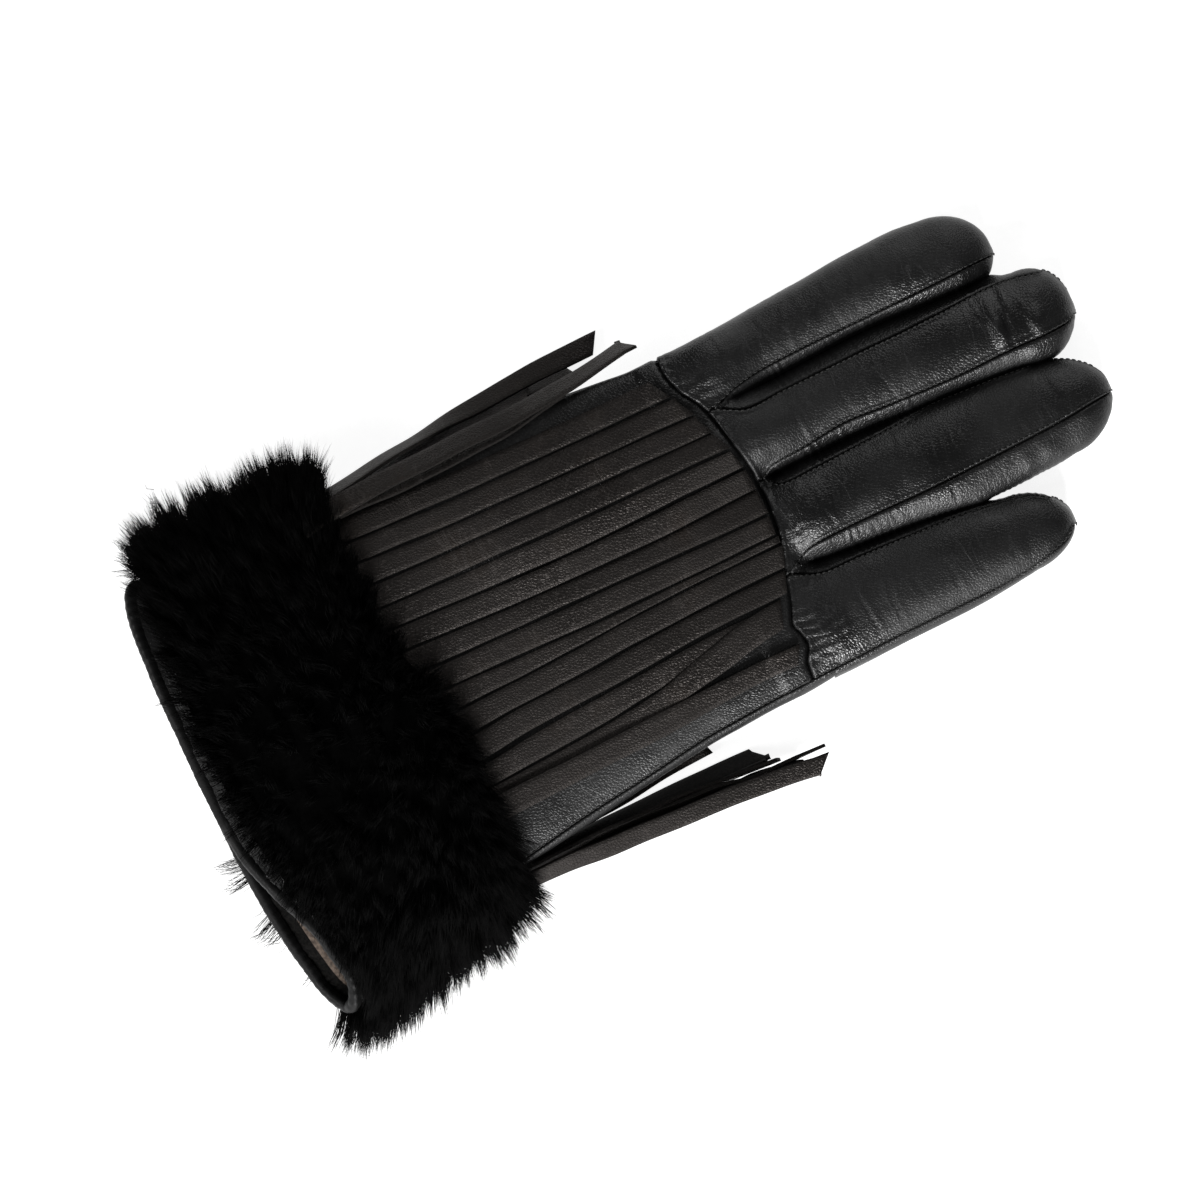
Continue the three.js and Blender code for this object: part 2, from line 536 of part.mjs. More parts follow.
// The rolled leather edge round the cuff's mouth
function mouthRoll() {
  const steps = 44;
  const sides = 6;
  const lower = curve(MOUTH, 'x', 'lower');
  const upper = curve(MOUTH, 'x', 'upper');
  const inset = (SHELL_WALL + LINING_WALL) / 2;
  const points = Array.from({ length: steps }, (_, i) => {
    const angle = 2 * Math.PI * i / steps;
    const y0 = mix(lower(0), upper(0), 0.5);
    const p = sectionPoint(y0, sectionSize(y0), angle, HAND_CROWN, inset);
    const height = (p.z - hand.bottom(y0)) / (hand.top(y0) - hand.bottom(y0));
    p.y = mix(lower(p.x), upper(p.x), smoothStep(height));
    return p;
  });
  const path = new THREE.CatmullRomCurve3(points, true);
  const rings = Array.from({ length: steps }, (_, i) => {
    const at = path.getPoint(i / steps);
    const tangent = path.getTangent(i / steps);
    const out = new THREE.Vector3(0, -1, 0).projectOnPlane(tangent).normalize();
    const side = tangent.clone().cross(out);
    return Array.from({ length: sides }, (_, k) => {
      const turn = 2 * Math.PI * k / sides;
      return at.clone().addScaledVector(out, ROLL_RADIUS * Math.cos(turn))
        .addScaledVector(side, ROLL_RADIUS * Math.sin(turn));
    });
  });
  return solidOf(loft(rings, { ringed: true }));
}

// Height of one form's upper side at a point, on the same flat faces as its leather
function topHeight(rows, sides, crown, x, y) {
  if (y < rows[0].y || y > rows.at(-1).y) return 0;
  let i = 0;
  while (i < rows.length - 2 && rows[i + 1].y < y) i++;
  const share = (y - rows[i].y) / (rows[i + 1].y - rows[i].y);
  const [before, after] = [rows[i], rows[i + 1]].map((row) => (
    sectionRing(row.y, row, sides, crown, 0).slice(0, sides / 2)
  ));
  const ring = before.map((p, k) => p.clone().lerp(after[k], share)).reverse();
  return x < ring[0].x || x > ring.at(-1).x ? 0 : line(ring, 'x', 'z')(x);
}

// Height of the glove's back at a point: the hand, or a finger's root where that stands higher
function backHeight(x, y) {
  const fingers = Object.values(FINGERS).map((rows) => topHeight(rows, FINGER_SIDES, FINGER_CROWN, x, y));
  return Math.max(topHeight(HAND, HAND_SIDES, HAND_CROWN, x, y), ...fingers);
}

// Height of a straight strip from one edge to the other that just clears the leather
function layAcross(left, right, y) {
  const ends = [backHeight(left, y), backHeight(right, y)];
  const over = [0.25, 0.5, 0.75].map((t) => backHeight(mix(left, right, t), y) - mix(ends[0], ends[1], t));
  return ends.map((z) => z + Math.max(0, ...over) + BACK_STRIP_GAP);
}

// A flat body of four-point sections: each row gives its left and right edges and its thickness
function ribbon(rows) {
  return solidOf(loft(rows.map(({ left, right, thick }) => {
    const across = right.clone().sub(left);
    const up = new THREE.Vector3(-across.z, 0, across.x).normalize().multiplyScalar(thick);
    return [left, right, right.clone().add(up), left.clone().add(up)];
  })));
}

// One strip of the fringe, lying on the back of the hand
function backStrip(strip) {
  const middle = -8;
  const centre = curve([
    { y: BACK_HEAD.front - 6, x: strip.root }, { y: -40, x: strip.root },
    { y: middle, x: strip.half }, { y: strip.tipY, x: strip.tip },
  ], 'y', 'x');
  const stations = [BACK_HEAD.front - 4, ...HAND.map((row) => row.y)
    .filter((y) => y > BACK_HEAD.front + 1 && y < strip.tipY - 5), strip.tipY];
  return ribbon(stations.map((y, i) => {
    const cut = i === stations.length - 1 ? strip.cut : 0;
    const [x0, x1] = [centre(y) - strip.width / 2, centre(y) + strip.width / 2];
    const [z0, z1] = layAcross(x0, x1, y);
    return {
      left: new THREE.Vector3(x0, y - cut, z0), right: new THREE.Vector3(x1, y + cut, z1), thick: STRIP_THICK,
    };
  }));
}

// The band that carries the strips, sewn in under the fur
function backHead() {
  const columns = 15;
  const rows = [0, 0.5, 1].map((share) => mix(BACK_HEAD.back, BACK_HEAD.front, share));
  return solidOf(loft(rows.map((y) => {
    const xs = Array.from({ length: columns }, (_, i) => (
      mix(BACK_HEAD.left, BACK_HEAD.right, i / (columns - 1))
    ));
    const base = xs.map((x) => new THREE.Vector3(x, y, backHeight(x, y) + BACK_STRIP_GAP - HEAD_TUCK));
    const cover = base.map((p) => p.clone().setZ(p.z + HEAD_THICK)).reverse();
    return [...base, ...cover];
  })));
}

// A strip's row where it hugs the wrist at an angle round it, to lie against the head and under the fur
function hugging(y, degrees) {
  const at = (turn) => (
    sectionPoint(y, sectionSize(y), THREE.MathUtils.degToRad(degrees + turn), HAND_CROWN, -LAY_GAP)
  );
  const [before, centre, after] = [at(3), at(0), at(-3)];
  const roll = THREE.MathUtils.radToDeg(Math.atan2(after.z - before.z, after.x - before.x));
  return { y, x: centre.x, z: centre.z, roll };
}

// A loose strip at the side, from its rooted end to its cut one
function sideStrip({ root, rows: free, cut }) {
  const rows = [hugging(BACK_HEAD.back + 2, root), hugging(SIDE_ROOT_END, root), ...free];
  return ribbon(rows.map((row, i) => {
    const turn = THREE.MathUtils.degToRad(row.roll);
    const end = i === rows.length - 1 ? cut : 0;
    const edge = (side) => new THREE.Vector3(
      row.x + side * Math.cos(turn) * STRIP_WIDTH / 2,
      row.y + side * end,
      row.z + side * Math.sin(turn) * STRIP_WIDTH / 2,
    );
    return { left: edge(-1), right: edge(1), thick: STRIP_THICK };
  }));
}

// A head band round one side of the cuff, between two angles of the section
function sideHead({ from, to }) {
  const columns = 9;
  const rows = [BACK_HEAD.back, BACK_HEAD.front];
  return solidOf(loft(rows.map((y) => {
    const size = sectionSize(y);
    const along = (inset) => Array.from({ length: columns }, (_, i) => (
      sectionPoint(y, size, THREE.MathUtils.degToRad(mix(from, to, i / (columns - 1))), HAND_CROWN, inset)
    ));
    return [...along(-LAY_GAP), ...along(-LAY_GAP - HEAD_THICK).reverse()];
  })));
}

// The fur cuff: a dense pile on its hide, drawn out into locks
function furCuff() {
  const edge = Object.fromEntries(
    ['frontTop', 'frontUnder', 'back'].map((c) => [c, curve(FUR_EDGES, 'x', c)]),
  );
  // A repeatable spread of values from 0 to 1, so that no two locks are alike
  const spread = (i, j) => {
    const v = Math.sin(i * 12.9898 + j * 78.233) * 43758.5453;
    return v - Math.floor(v);
  };
  const at = (angle, share, reach) => {
    const x0 = sectionPoint(FUR_MIDDLE, sectionSize(FUR_MIDDLE), angle, HAND_CROWN, 0).x;
    const front = mix(edge.frontUnder(x0), edge.frontTop(x0), smoothStep(0.5 + Math.sin(angle) * 1.2));
    const y = mix(front, edge.back(x0), share);
    return sectionPoint(y, sectionSize(y), angle, HAND_CROWN, -reach);
  };
  const innerReach = (share) => (
    mix(FUR.overHead, FUR.backing, smoothStep((share - HIDE_STEP.start) / (HIDE_STEP.end - HIDE_STEP.start)))
  );
  const rings = Array.from({ length: FUR.columns }, (_, i) => {
    const angle = 2 * Math.PI * i / FUR.columns;
    const up = Math.sin(angle);
    const under = smoothStep(-up * 2.5);
    const side = Math.abs(Math.cos(angle)) ** 4;
    const outer = Array.from({ length: FUR.rows }, (_, j) => {
      const share = j / (FUR.rows - 1);
      const ends = Math.min(1, 0.4 + 4 * Math.min(share, 1 - share));
      const p = at(angle, share, Math.max(innerReach(share) + FUR.rim, FUR.pile * ends));
      const lock = i % 2 === 1 && j % 2 === 1;
      if (lock) {
        const length = mix(FUR.lockTop, FUR.lockSide, side) * (0.75 + 0.5 * spread(i, j)) * (1 - 0.9 * under);
        const toEnd = (share - 0.5) * 2;
        p.x += length * (0.86 * Math.cos(angle) + 0.25 * (spread(j, i) - 0.5));
        p.y -= length * (0.62 * toEnd ** 3 + 0.3 * (spread(i + 7, j) - 0.5));
        p.z += length * 0.8 * Math.max(0, up) ** 0.7;
      }
      p.z = Math.max(0, p.z);
      return p;
    });
    const inner = [1, HIDE_STEP.end, HIDE_STEP.start, 0].map((share) => at(angle, share, innerReach(share)));
    return [...outer, ...inner];
  });
  return solidOf(loft(rings, { ringed: true }));
}

function place(group, name, solid, finish) {
  const mesh = new THREE.Mesh(geometryOf(solid), new THREE.MeshStandardMaterial(LEATHERS[finish]));
  mesh.name = name;
  group.add(mesh);
}

const glove = new THREE.Group();
glove.name = 'fringed_glove';
Object.entries(shellPieces()).forEach(([name, solid]) => place(glove, name, solid, 'gloss'));
place(glove, 'thumb', thumbPiece(), 'gloss');
place(glove, 'mouth_roll', mouthRoll(), 'gloss');
place(glove, 'facing', innerTube(
  SHELL_WALL + SEAM_GAP, LINING_WALL, ROLL_RADIUS + MOUTH_GAP, LINING_END,
).subtract(insideMouth(FACING_DEPTH)), 'gloss');
place(glove, 'lining', innerTube(
  SHELL_WALL + SEAM_GAP, LINING_WALL, FACING_DEPTH + SEAM_GAP, LINING_END,
), 'lining');
place(glove, 'fringe_back', joined([backHead(), ...BACK_STRIPS.map(backStrip)]), 'matte');
place(glove, 'fringe_thumb_side', joined([
  sideHead(THUMB_SIDE_HEAD), ...Object.values(THUMB_SIDE_STRIPS).map(sideStrip),
]), 'matte');
place(glove, 'fringe_little_side', joined([
  sideHead(LITTLE_SIDE_HEAD), ...Object.values(LITTLE_SIDE_STRIPS).map(sideStrip),
]), 'matte');
place(glove, 'fur_cuff', furCuff(), 'fur');

export default glove;
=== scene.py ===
# A black leather dress glove lying palm down: smooth sewn fingers, a fringe of cut strips and a fur cuff.
# Tables are in millimetres, in the glove's own frame; meshes are made in metres.

import math

import bpy
import numpy as np
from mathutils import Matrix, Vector


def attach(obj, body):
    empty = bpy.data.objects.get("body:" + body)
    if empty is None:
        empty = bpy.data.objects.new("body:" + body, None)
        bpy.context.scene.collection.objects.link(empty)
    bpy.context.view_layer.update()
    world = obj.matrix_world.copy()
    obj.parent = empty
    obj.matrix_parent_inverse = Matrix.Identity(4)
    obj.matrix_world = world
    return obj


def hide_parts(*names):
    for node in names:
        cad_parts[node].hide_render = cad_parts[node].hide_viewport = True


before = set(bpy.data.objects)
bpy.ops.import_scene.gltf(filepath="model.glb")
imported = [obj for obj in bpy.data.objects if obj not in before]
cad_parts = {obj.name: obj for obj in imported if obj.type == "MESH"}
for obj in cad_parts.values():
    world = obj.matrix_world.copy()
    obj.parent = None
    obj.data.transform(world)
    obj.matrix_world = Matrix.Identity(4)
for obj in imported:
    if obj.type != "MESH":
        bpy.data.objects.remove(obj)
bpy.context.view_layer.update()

MM = 0.001
SEED = 11
LEATHER_THICK = 0.9

# Section shape, as in the solids: height of the widest point, fullness of the crown, flat underside
WAIST = 0.4
HAND_CROWN = 0.55
FINGER_CROWN = 0.8
FLAT_UNDERSIDE = 1.3
LOW_SEAM_TURN = math.radians(16)

# The folded thumb lifts the glove above it
THUMB_LIFT = 5.8
LIFT_ON_TOP = 0.42
LIFT_X = (-16, -6)
LIFT_START = (-36, -10)
LIFT_END = (45, 60)
# The lift is whole up to this height and fades over the next
LIFT_WHOLE = 5.6
LIFT_FADE = 8

# Along the hand: where the fingers begin, how softly they join it, and from where each stands alone
FINGERS_FROM = 30
FINGERS_BLEND = 2.4
FINGERS_ALONE = 62
# How near to its widest point a section is still looked up
WIDEST = 0.995
# A fingertip: how far before it the outline turns to it, its fullness in height, its rows and the last
TIP_APPROACH = 18
TIP_FULLNESS = 2.3
TIP_ROWS = 1.6
TIP_LAST_TURN = math.radians(89.3)
# The leather's lowest height, and how near points are made one
LOWEST = 0.02
WELD_STEP = 0.004
# Places and levels that depend on each other are worked out in rounds
ROUNDS = 3

# The hand and cuff, by distance along the glove
HAND = {
    "y": [-114, -97, -80, -50, -36, -22, -10, 10, 20, 28, 36, 44, 47, 50],
    "left": [-49.0, -49.0, -48.8, -48.2, -47.8, -47.5, -47, -46, -45.2, -44.5, -44.6, -44, -42.8, -41],
    "right": [69.5, 66.6, 60.8, 53.2, 51.4, 49.4, 47.6, 45.0, 44.2, 43.7, 43.4, 42.4, 41.2, 39.0],
    "bottom": [4.8, 4.9, 5.0, 4.8, 3.2, 0.8, 0, 0, 0, 0, 0, 0.8, 1.8, 3.0],
    "top": [15.5, 16.6, 17.5, 17.8, 17.2, 16.4, 16.0, 15.4, 15.1, 14.8, 14.0, 12.8, 10.6, 6.5],
}

# Each finger: outline, seams on the back and height; its tip, and how square each side of the tip is
FINGERS = {
    "index": {
        "y": [28, 36, 43.2, 50, 60, 70, 86, 100, 107],
        "left": [-44.5, -44.6, -44.8, -45.2, -46.2, -47.0, -48.2, -48.7, -48.2],
        "right": [-27.4, -27.6, -27.8, -28.2, -28.6, -29.1, -29.8, -29.2, -29.0],
        "seam_left": None,
        "seam_right": [(43.2, -27.7), (50, -30.0), (60, -31.5), (86, -32.1), (100, -32.4), (119, -33.0)],
        "top": [13.2, 13.6, 14.0, 14.2, 13.9, 13.6, 13.2, 13.0, 12.6],
        "tip": (-36.0, 120.4), "square": (2.0, 2.9),
    },
    "middle": {
        "y": [28, 36, 43.2, 50, 60, 70, 80, 100, 112, 118, 122],
        "left": [-27.2, -27.3, -27.5, -27.9, -28.3, -28.8, -29.2, -28.8, -28.6, -28.1, -27.4],
        "right": [-7.9, -7.8, -7.7, -7.6, -7.8, -8.0, -7.8, -7.0, -6.2, -5.0, -4.2],
        "seam_left": [(43.2, -27.7), (50, -24.6), (60, -25.0), (80, -25.5), (100, -25.7), (112, -26.5),
                      (120, -26.2), (127, -24.8)],
        "seam_right": [(46.9, -7.5), (50, -9.4), (60, -10.5), (70, -11.5), (80, -11.0), (100, -10.1),
                       (112, -10.5), (128, -10.6), (132, -12.0)],
        "top": [13.4, 13.8, 14.4, 14.6, 14.3, 14.0, 13.9, 13.5, 13.0, 12.8, 12.6],
        "tip": (-15.5, 132.6), "square": (2.2, 1.75),
    },
    "ring": {
        "y": [28, 36, 46.9, 50, 60, 70, 80, 92, 100, 107, 114, 118],
        "left": [-7.6, -7.4, -7.2, -7.2, -7.5, -7.6, -7.4, -7.0, -6.7, -6.3, -5.9, -5.1],
        "right": [14.2, 14.5, 14.8, 15.2, 16.4, 17.2, 18.1, 19.6, 19.9, 19.6, 19.3, 18.7],
        "seam_left": [(46.9, -7.5), (50, -4.8), (60, -4.9), (70, -5.4), (80, -6.0), (92, -6.8), (118, -5.1)],
        "seam_right": [(43.0, 15.8), (50, 12.2), (60, 11.5), (80, 11.5), (100, 10.9), (118, 10.0),
                       (125, 9.3), (132, 8.8)],
        "top": [13.4, 13.8, 14.2, 14.5, 14.4, 14.2, 14.0, 13.8, 13.6, 13.4, 13.0, 12.7],
        "tip": (6.5, 132.2), "square": (1.85, 1.9),
    },
    "little": {
        "y": [28, 36, 43, 50, 60, 80, 92, 98],
        "left": [15.0, 15.2, 15.4, 15.9, 16.6, 18.1, 19.9, 20.9],
        "right": [43.7, 43.4, 43.2, 43.0, 42.6, 42.1, 41.0, 40.3],
        "seam_left": [(43.0, 15.8), (50, 18.5), (60, 18.8), (80, 19.7), (92, 20.8), (103, 22.6), (108, 25.6)],
        "seam_right": [(28, 41.5), (50, 40.7), (60, 40.3), (80, 40.1), (92, 39.6), (100, 38.3), (107, 36.2),
                       (110, 34.0)],
        "top": [13.2, 13.3, 13.6, 13.8, 13.6, 13.0, 12.6, 12.2],
        "tip": (31.5, 111.1), "square": (1.8, 1.9),
    },
}
CROTCHES = {
    ("index", "middle"): (-27.7, 43.2),
    ("middle", "ring"): (-7.5, 46.9),
    ("ring", "little"): (15.8, 43.0),
}

KNUCKLE_SEAM = [
    (-60, 35.4), (-40, 35.5), (-38, 36.0), (-34, 37.5), (-31, 39.6), (-27, 41.4), (-20, 42.9), (-14, 44.2),
    (-8, 45.2), (0, 45.0), (6, 44.4), (12, 42.9), (16, 41.6), (20, 40.7), (24, 39.3), (27, 38.2), (30, 39.2),
    (33, 39.6), (37, 37.7), (60, 36.8),
]
OUTER_SEAM = [
    (-120, 65.0), (-90, 61.0), (-60, 53.8), (-38, 50.0), (-30, 48.5), (-20, 47.0), (-8, 45.5), (2, 44.0),
    (10, 43.0), (22, 42.0), (36, 41.3), (60, 40.4),
]


def smooth_step(t):
    c = np.clip(t, 0, 1)
    return c * c * (3 - 2 * c)


def mix(a, b, t):
    return a + (b - a) * t


def curve(xs, ys):
    """A smooth curve through the rows of a table, held level past its ends."""
    xs, ys = np.asarray(xs, float), np.asarray(ys, float)
    last = len(xs) - 1

    def at(x):
        x = np.clip(np.asarray(x, float), xs[0], xs[-1])
        i = np.clip(np.searchsorted(xs, x, side="right") - 1, 0, last - 1)
        before, after = np.clip(i - 1, 0, last), np.clip(i + 2, 0, last)
        span = xs[i + 1] - xs[i]
        t = (x - xs[i]) / span
        slope_a = (ys[i + 1] - ys[before]) / (xs[i + 1] - xs[before])
        slope_b = (ys[after] - ys[i]) / (xs[after] - xs[i])
        t2, t3 = t * t, t * t * t
        return ((2 * t3 - 3 * t2 + 1) * ys[i] + (t3 - 2 * t2 + t) * span * slope_a
                + (3 * t2 - 2 * t3) * ys[i + 1] + (t3 - t2) * span * slope_b)

    return at


def route(points):
    """The curve through a list of (key, value) pairs."""
    return curve([p[0] for p in points], [p[1] for p in points])


def unit(v):
    return v / np.maximum(np.linalg.norm(v, axis=-1, keepdims=True), 1e-9)


def smooth_max(a, b, blend):
    reach = np.maximum(blend - np.abs(a - b), 0) / blend
    return np.maximum(a, b) + reach * reach * blend / 4


LATTICE_SIZE = 256
LATTICE = np.random.default_rng(SEED).random((LATTICE_SIZE, LATTICE_SIZE))


def noise(x, y, scale, shift=0.0):
    """Smooth noise from -1 to 1 over the plane, with bumps about one scale wide."""
    u, v = np.asarray(x, float) / scale + shift, np.asarray(y, float) / scale + 2.7 * shift
    i, j = np.floor(u).astype(int), np.floor(v).astype(int)
    fu, fv = smooth_step(u - i), smooth_step(v - j)
    at = [[LATTICE[(i + a) % LATTICE_SIZE, (j + b) % LATTICE_SIZE] for b in (0, 1)] for a in (0, 1)]
    low, high = mix(at[0][0], at[1][0], fu), mix(at[0][1], at[1][1], fu)
    return 2 * mix(low, high, fv) - 1


hand = {side: curve(HAND["y"], HAND[side]) for side in ("left", "right", "bottom", "top")}
knuckle_y = route(KNUCKLE_SEAM)
outer_x = route(OUTER_SEAM)


def hand_sides(y, inset=0.0):
    """Left, right, bottom and top of the hand and cuff, drawn in by an inset."""
    return (hand["left"](y) + inset, hand["right"](y) - inset,
            hand["bottom"](y) + inset, hand["top"](y) - inset)


def lift(x, y):
    across = 1 - smooth_step((x - LIFT_X[0]) / (LIFT_X[1] - LIFT_X[0]))
    start = smooth_step((y - LIFT_START[0]) / (LIFT_START[1] - LIFT_START[0]))
    end = 1 - smooth_step((y - LIFT_END[0]) / (LIFT_END[1] - LIFT_END[0]))
    return THUMB_LIFT * across * start * end


def section(left, right, bottom, top, centre, turn, crown):
    """A flattened tube's section: turn 0 at the little finger's side, a quarter at the crown."""
    across, up = np.cos(turn), np.sin(turn)
    x = centre + np.where(across > 0, right - centre, centre - left) * across
    waist = mix(bottom, top, WAIST)
    full = np.abs(up) ** crown
    z = np.where(up >= 0, waist + (top - waist) * full,
                 waist - (waist - bottom) * np.minimum(1, FLAT_UNDERSIDE * full))
    return x, z


def hand_section(y, turn, inset=0.0):
    """A place on the hand's section, with its share of the section's height."""
    left, right, bottom, top = hand_sides(y, inset)
    x, z = section(left, right, bottom, top, (left + right) / 2, turn, HAND_CROWN)
    return x, z, (z - bottom) / (top - bottom)


def crown_height(across, bottom, top, crown):
    """Height of a section's upper side, at a share of its half width from the middle."""
    waist = mix(bottom, top, WAIST)
    up = np.sqrt(np.clip(1 - across * across, 0, 1))
    return waist + (top - waist) * up ** crown


class Finger:
    """A finger's outline and height at any distance along it, with its rounded tip."""

    def __init__(self, row):
        self.sides = {key: curve(row["y"], row[key]) for key in ("left", "right", "top")}
        self.start = row["y"][-1]
        self.tip_x, self.tip_y = row["tip"]
        self.square = row["square"]
        self.seam_left = route(row["seam_left"]) if row["seam_left"] else None
        self.seam_right = route(row["seam_right"])

    def round(self, y, power):
        u = np.clip((y - self.start) / (self.tip_y - self.start), 0, 1)
        return (1 - u ** power) ** (1 / power)

    def size(self, y):
        left, right, top = (self.sides[key](y) for key in ("left", "right", "top"))
        reach = smooth_step((y - self.start + TIP_APPROACH) / TIP_APPROACH)
        centre = mix((left + right) / 2, self.tip_x, reach)
        left = centre - (centre - left) * self.round(y, self.square[0])
        right = centre + (right - centre) * self.round(y, self.square[1])
        waist = WAIST * top
        bulge = self.round(y, TIP_FULLNESS)
        return left, right, waist * (1 - bulge), waist + (top - waist) * bulge, centre

    def stations(self, first, step):
        body = np.linspace(first, self.start, int((self.start - first) / step) + 1)
        turn = np.linspace(0, math.pi / 2, int((self.tip_y - self.start) / step * TIP_ROWS) + 4)[1:]
        turn[-1] = TIP_LAST_TURN
        return np.concatenate([body, self.start + (self.tip_y - self.start) * np.sin(turn)])

    def turn_at(self, x, y):
        left, right, _, _, centre = self.size(y)
        half = np.where(x > centre, right - centre, centre - left)
        return np.arccos(np.clip((x - centre) / np.maximum(half, 1e-4), -WIDEST, WIDEST))

    def within(self, x, y):
        """A place beside the finger brought back to its outline."""
        left, right, _, _, centre = self.size(y)
        return np.clip(x, centre - WIDEST * (centre - left), centre + WIDEST * (right - centre))

    def top_at(self, x, y):
        """Height of the finger's upper side over a place in plan, or 0 beside it."""
        left, right, bottom, top, centre = self.size(y)
        across = (x - centre) / np.maximum(np.where(x > centre, right - centre, centre - left), 1e-4)
        over = (np.abs(across) < 1) & (y < self.tip_y)
        return np.where(over, crown_height(across, bottom, top, FINGER_CROWN), 0.0)


fingers = {name: Finger(row) for name, row in FINGERS.items()}


def hand_top(x, y):
    left, right, bottom, top = hand_sides(y)
    across = (x - (left + right) / 2) / ((right - left) / 2)
    over = (np.abs(across) < 1) & (y < HAND["y"][-1])
    return np.where(over, crown_height(across, bottom, top, HAND_CROWN), 0.0)


def back_top(x, y):
    """Height of the glove's back anywhere in plan, without the thumb's lift."""
    z = hand_top(x, y)
    for finger in fingers.values():
        over = np.where(y > FINGERS_FROM, finger.top_at(x, y), 0.0)
        z = smooth_max(z, over, FINGERS_BLEND)
    return z


def lifted(x, y, z):
    """A height with the thumb's lift, which fades towards the back of the hand."""
    faded = np.clip((z - LIFT_WHOLE) / LIFT_FADE, 0, 1)
    return z + lift(x, y) * (1 - (1 - LIFT_ON_TOP) * faded)


def back_height(x, y):
    return lifted(x, y, back_top(x, y))


def normals_of(verts, quads):
    """Unit normals at the vertices of a mesh of quads."""
    a, b, c, d = (verts[quads[:, k]] for k in range(4))
    face = np.cross(c - a, d - b)
    total = np.zeros_like(verts)
    for k in range(4):
        np.add.at(total, quads[:, k], face)
    length = np.linalg.norm(total, axis=1, keepdims=True)
    return total / np.maximum(length, 1e-12)


def ring_quads(count, around):
    """Quads over rings of points that close both ways."""
    i, j = np.meshgrid(np.arange(count), np.arange(around), indexing="ij")
    n, m = (i + 1) % count, (j + 1) % around
    corners = [i * around + j, i * around + m, n * around + m, n * around + j]
    return np.stack(corners, axis=2).reshape(-1, 4)


def travel_along(path):
    """How far each point of a path lies from its first, along the path."""
    return np.cumsum(np.linalg.norm(np.diff(path, axis=0, prepend=path[:1]), axis=1))


def grid_quads(rows, columns):
    i, j = np.meshgrid(np.arange(rows - 1), np.arange(columns - 1), indexing="ij")
    first = (i * columns + j).ravel()
    return np.stack([first, first + columns, first + columns + 1, first + 1], axis=1)


def grid_normals(grid):
    return normals_of(grid.reshape(-1, 3), grid_quads(*grid.shape[:2])).reshape(grid.shape)


def weld(grids):
    """Joins grids of points (rows x columns x 3) into one mesh, with the points they share made one."""
    verts, quads, start = [], [], 0
    for grid in grids:
        rows, columns = grid.shape[:2]
        quads.append(grid_quads(rows, columns) + start)
        verts.append(grid.reshape(-1, 3))
        start += rows * columns
    verts, quads = np.concatenate(verts), np.concatenate(quads)
    places = np.round(verts / WELD_STEP).astype(int)
    _, first, back = np.unique(places, axis=0, return_index=True, return_inverse=True)
    quads = back.reshape(-1)[quads]
    return verts[first], quads[[len(set(q)) == 4 for q in quads.tolist()]]


def thicken(verts, quads, thick):
    """Gives a sheet its thickness on the side away from its normals and closes its edges."""
    inner = verts - normals_of(verts, quads) * thick
    edges = np.concatenate([quads[:, [k, (k + 1) % 4]] for k in range(4)])
    key = np.sort(edges, axis=1)
    _, first, count = np.unique(key, axis=0, return_index=True, return_counts=True)
    rim = edges[first[count == 1]]
    n = len(verts)
    walls = np.stack([rim[:, 1], rim[:, 0], rim[:, 0] + n, rim[:, 1] + n], axis=1)
    return np.concatenate([verts, inner]), np.concatenate([quads, quads[:, ::-1] + n, walls])


def new_piece(name, verts, quads=None, tris=None, materials=(), slot=None, replaced=(), face_material=None):
    """A smooth mesh object in metres that rides on the glove's one body."""
    quads = np.zeros((0, 4), int) if quads is None else quads
    tris = np.zeros((0, 3), int) if tris is None else tris
    mesh = bpy.data.meshes.new(name)
    mesh.vertices.add(len(verts))
    mesh.vertices.foreach_set("co", (np.asarray(verts) * MM).astype(np.float32).ravel())
    loops = np.concatenate([quads.ravel(), tris.ravel()]).astype(np.int32)
    mesh.loops.add(len(loops))
    mesh.loops.foreach_set("vertex_index", loops)
    starts = np.concatenate([np.arange(len(quads)) * 4, len(quads) * 4 + np.arange(len(tris)) * 3])
    mesh.polygons.add(len(starts))
    mesh.polygons.foreach_set("loop_start", starts.astype(np.int32))
    mesh.update(calc_edges=True)
    mesh.polygons.foreach_set("use_smooth", np.ones(len(starts), bool))
    for material in materials:
        mesh.materials.append(material)
    if face_material is not None:
        mesh.polygons.foreach_set("material_index", np.asarray(face_material, np.int32))
    mesh.validate()
    piece = bpy.data.objects.new(name, mesh)
    bpy.context.scene.collection.objects.link(piece)
    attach(piece, "root")
    if replaced:
        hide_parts(*replaced)
    return piece


# Materials

PORE_SCALE = 1350


def new_material(name):
    """A material, its nodes and links, its shader and a node for the place on the surface."""
    material = bpy.data.materials.new(name)
    material.use_nodes = True
    nodes, links = material.node_tree.nodes, material.node_tree.links
    return material, nodes, links, nodes["Principled BSDF"], nodes.new("ShaderNodeNewGeometry")


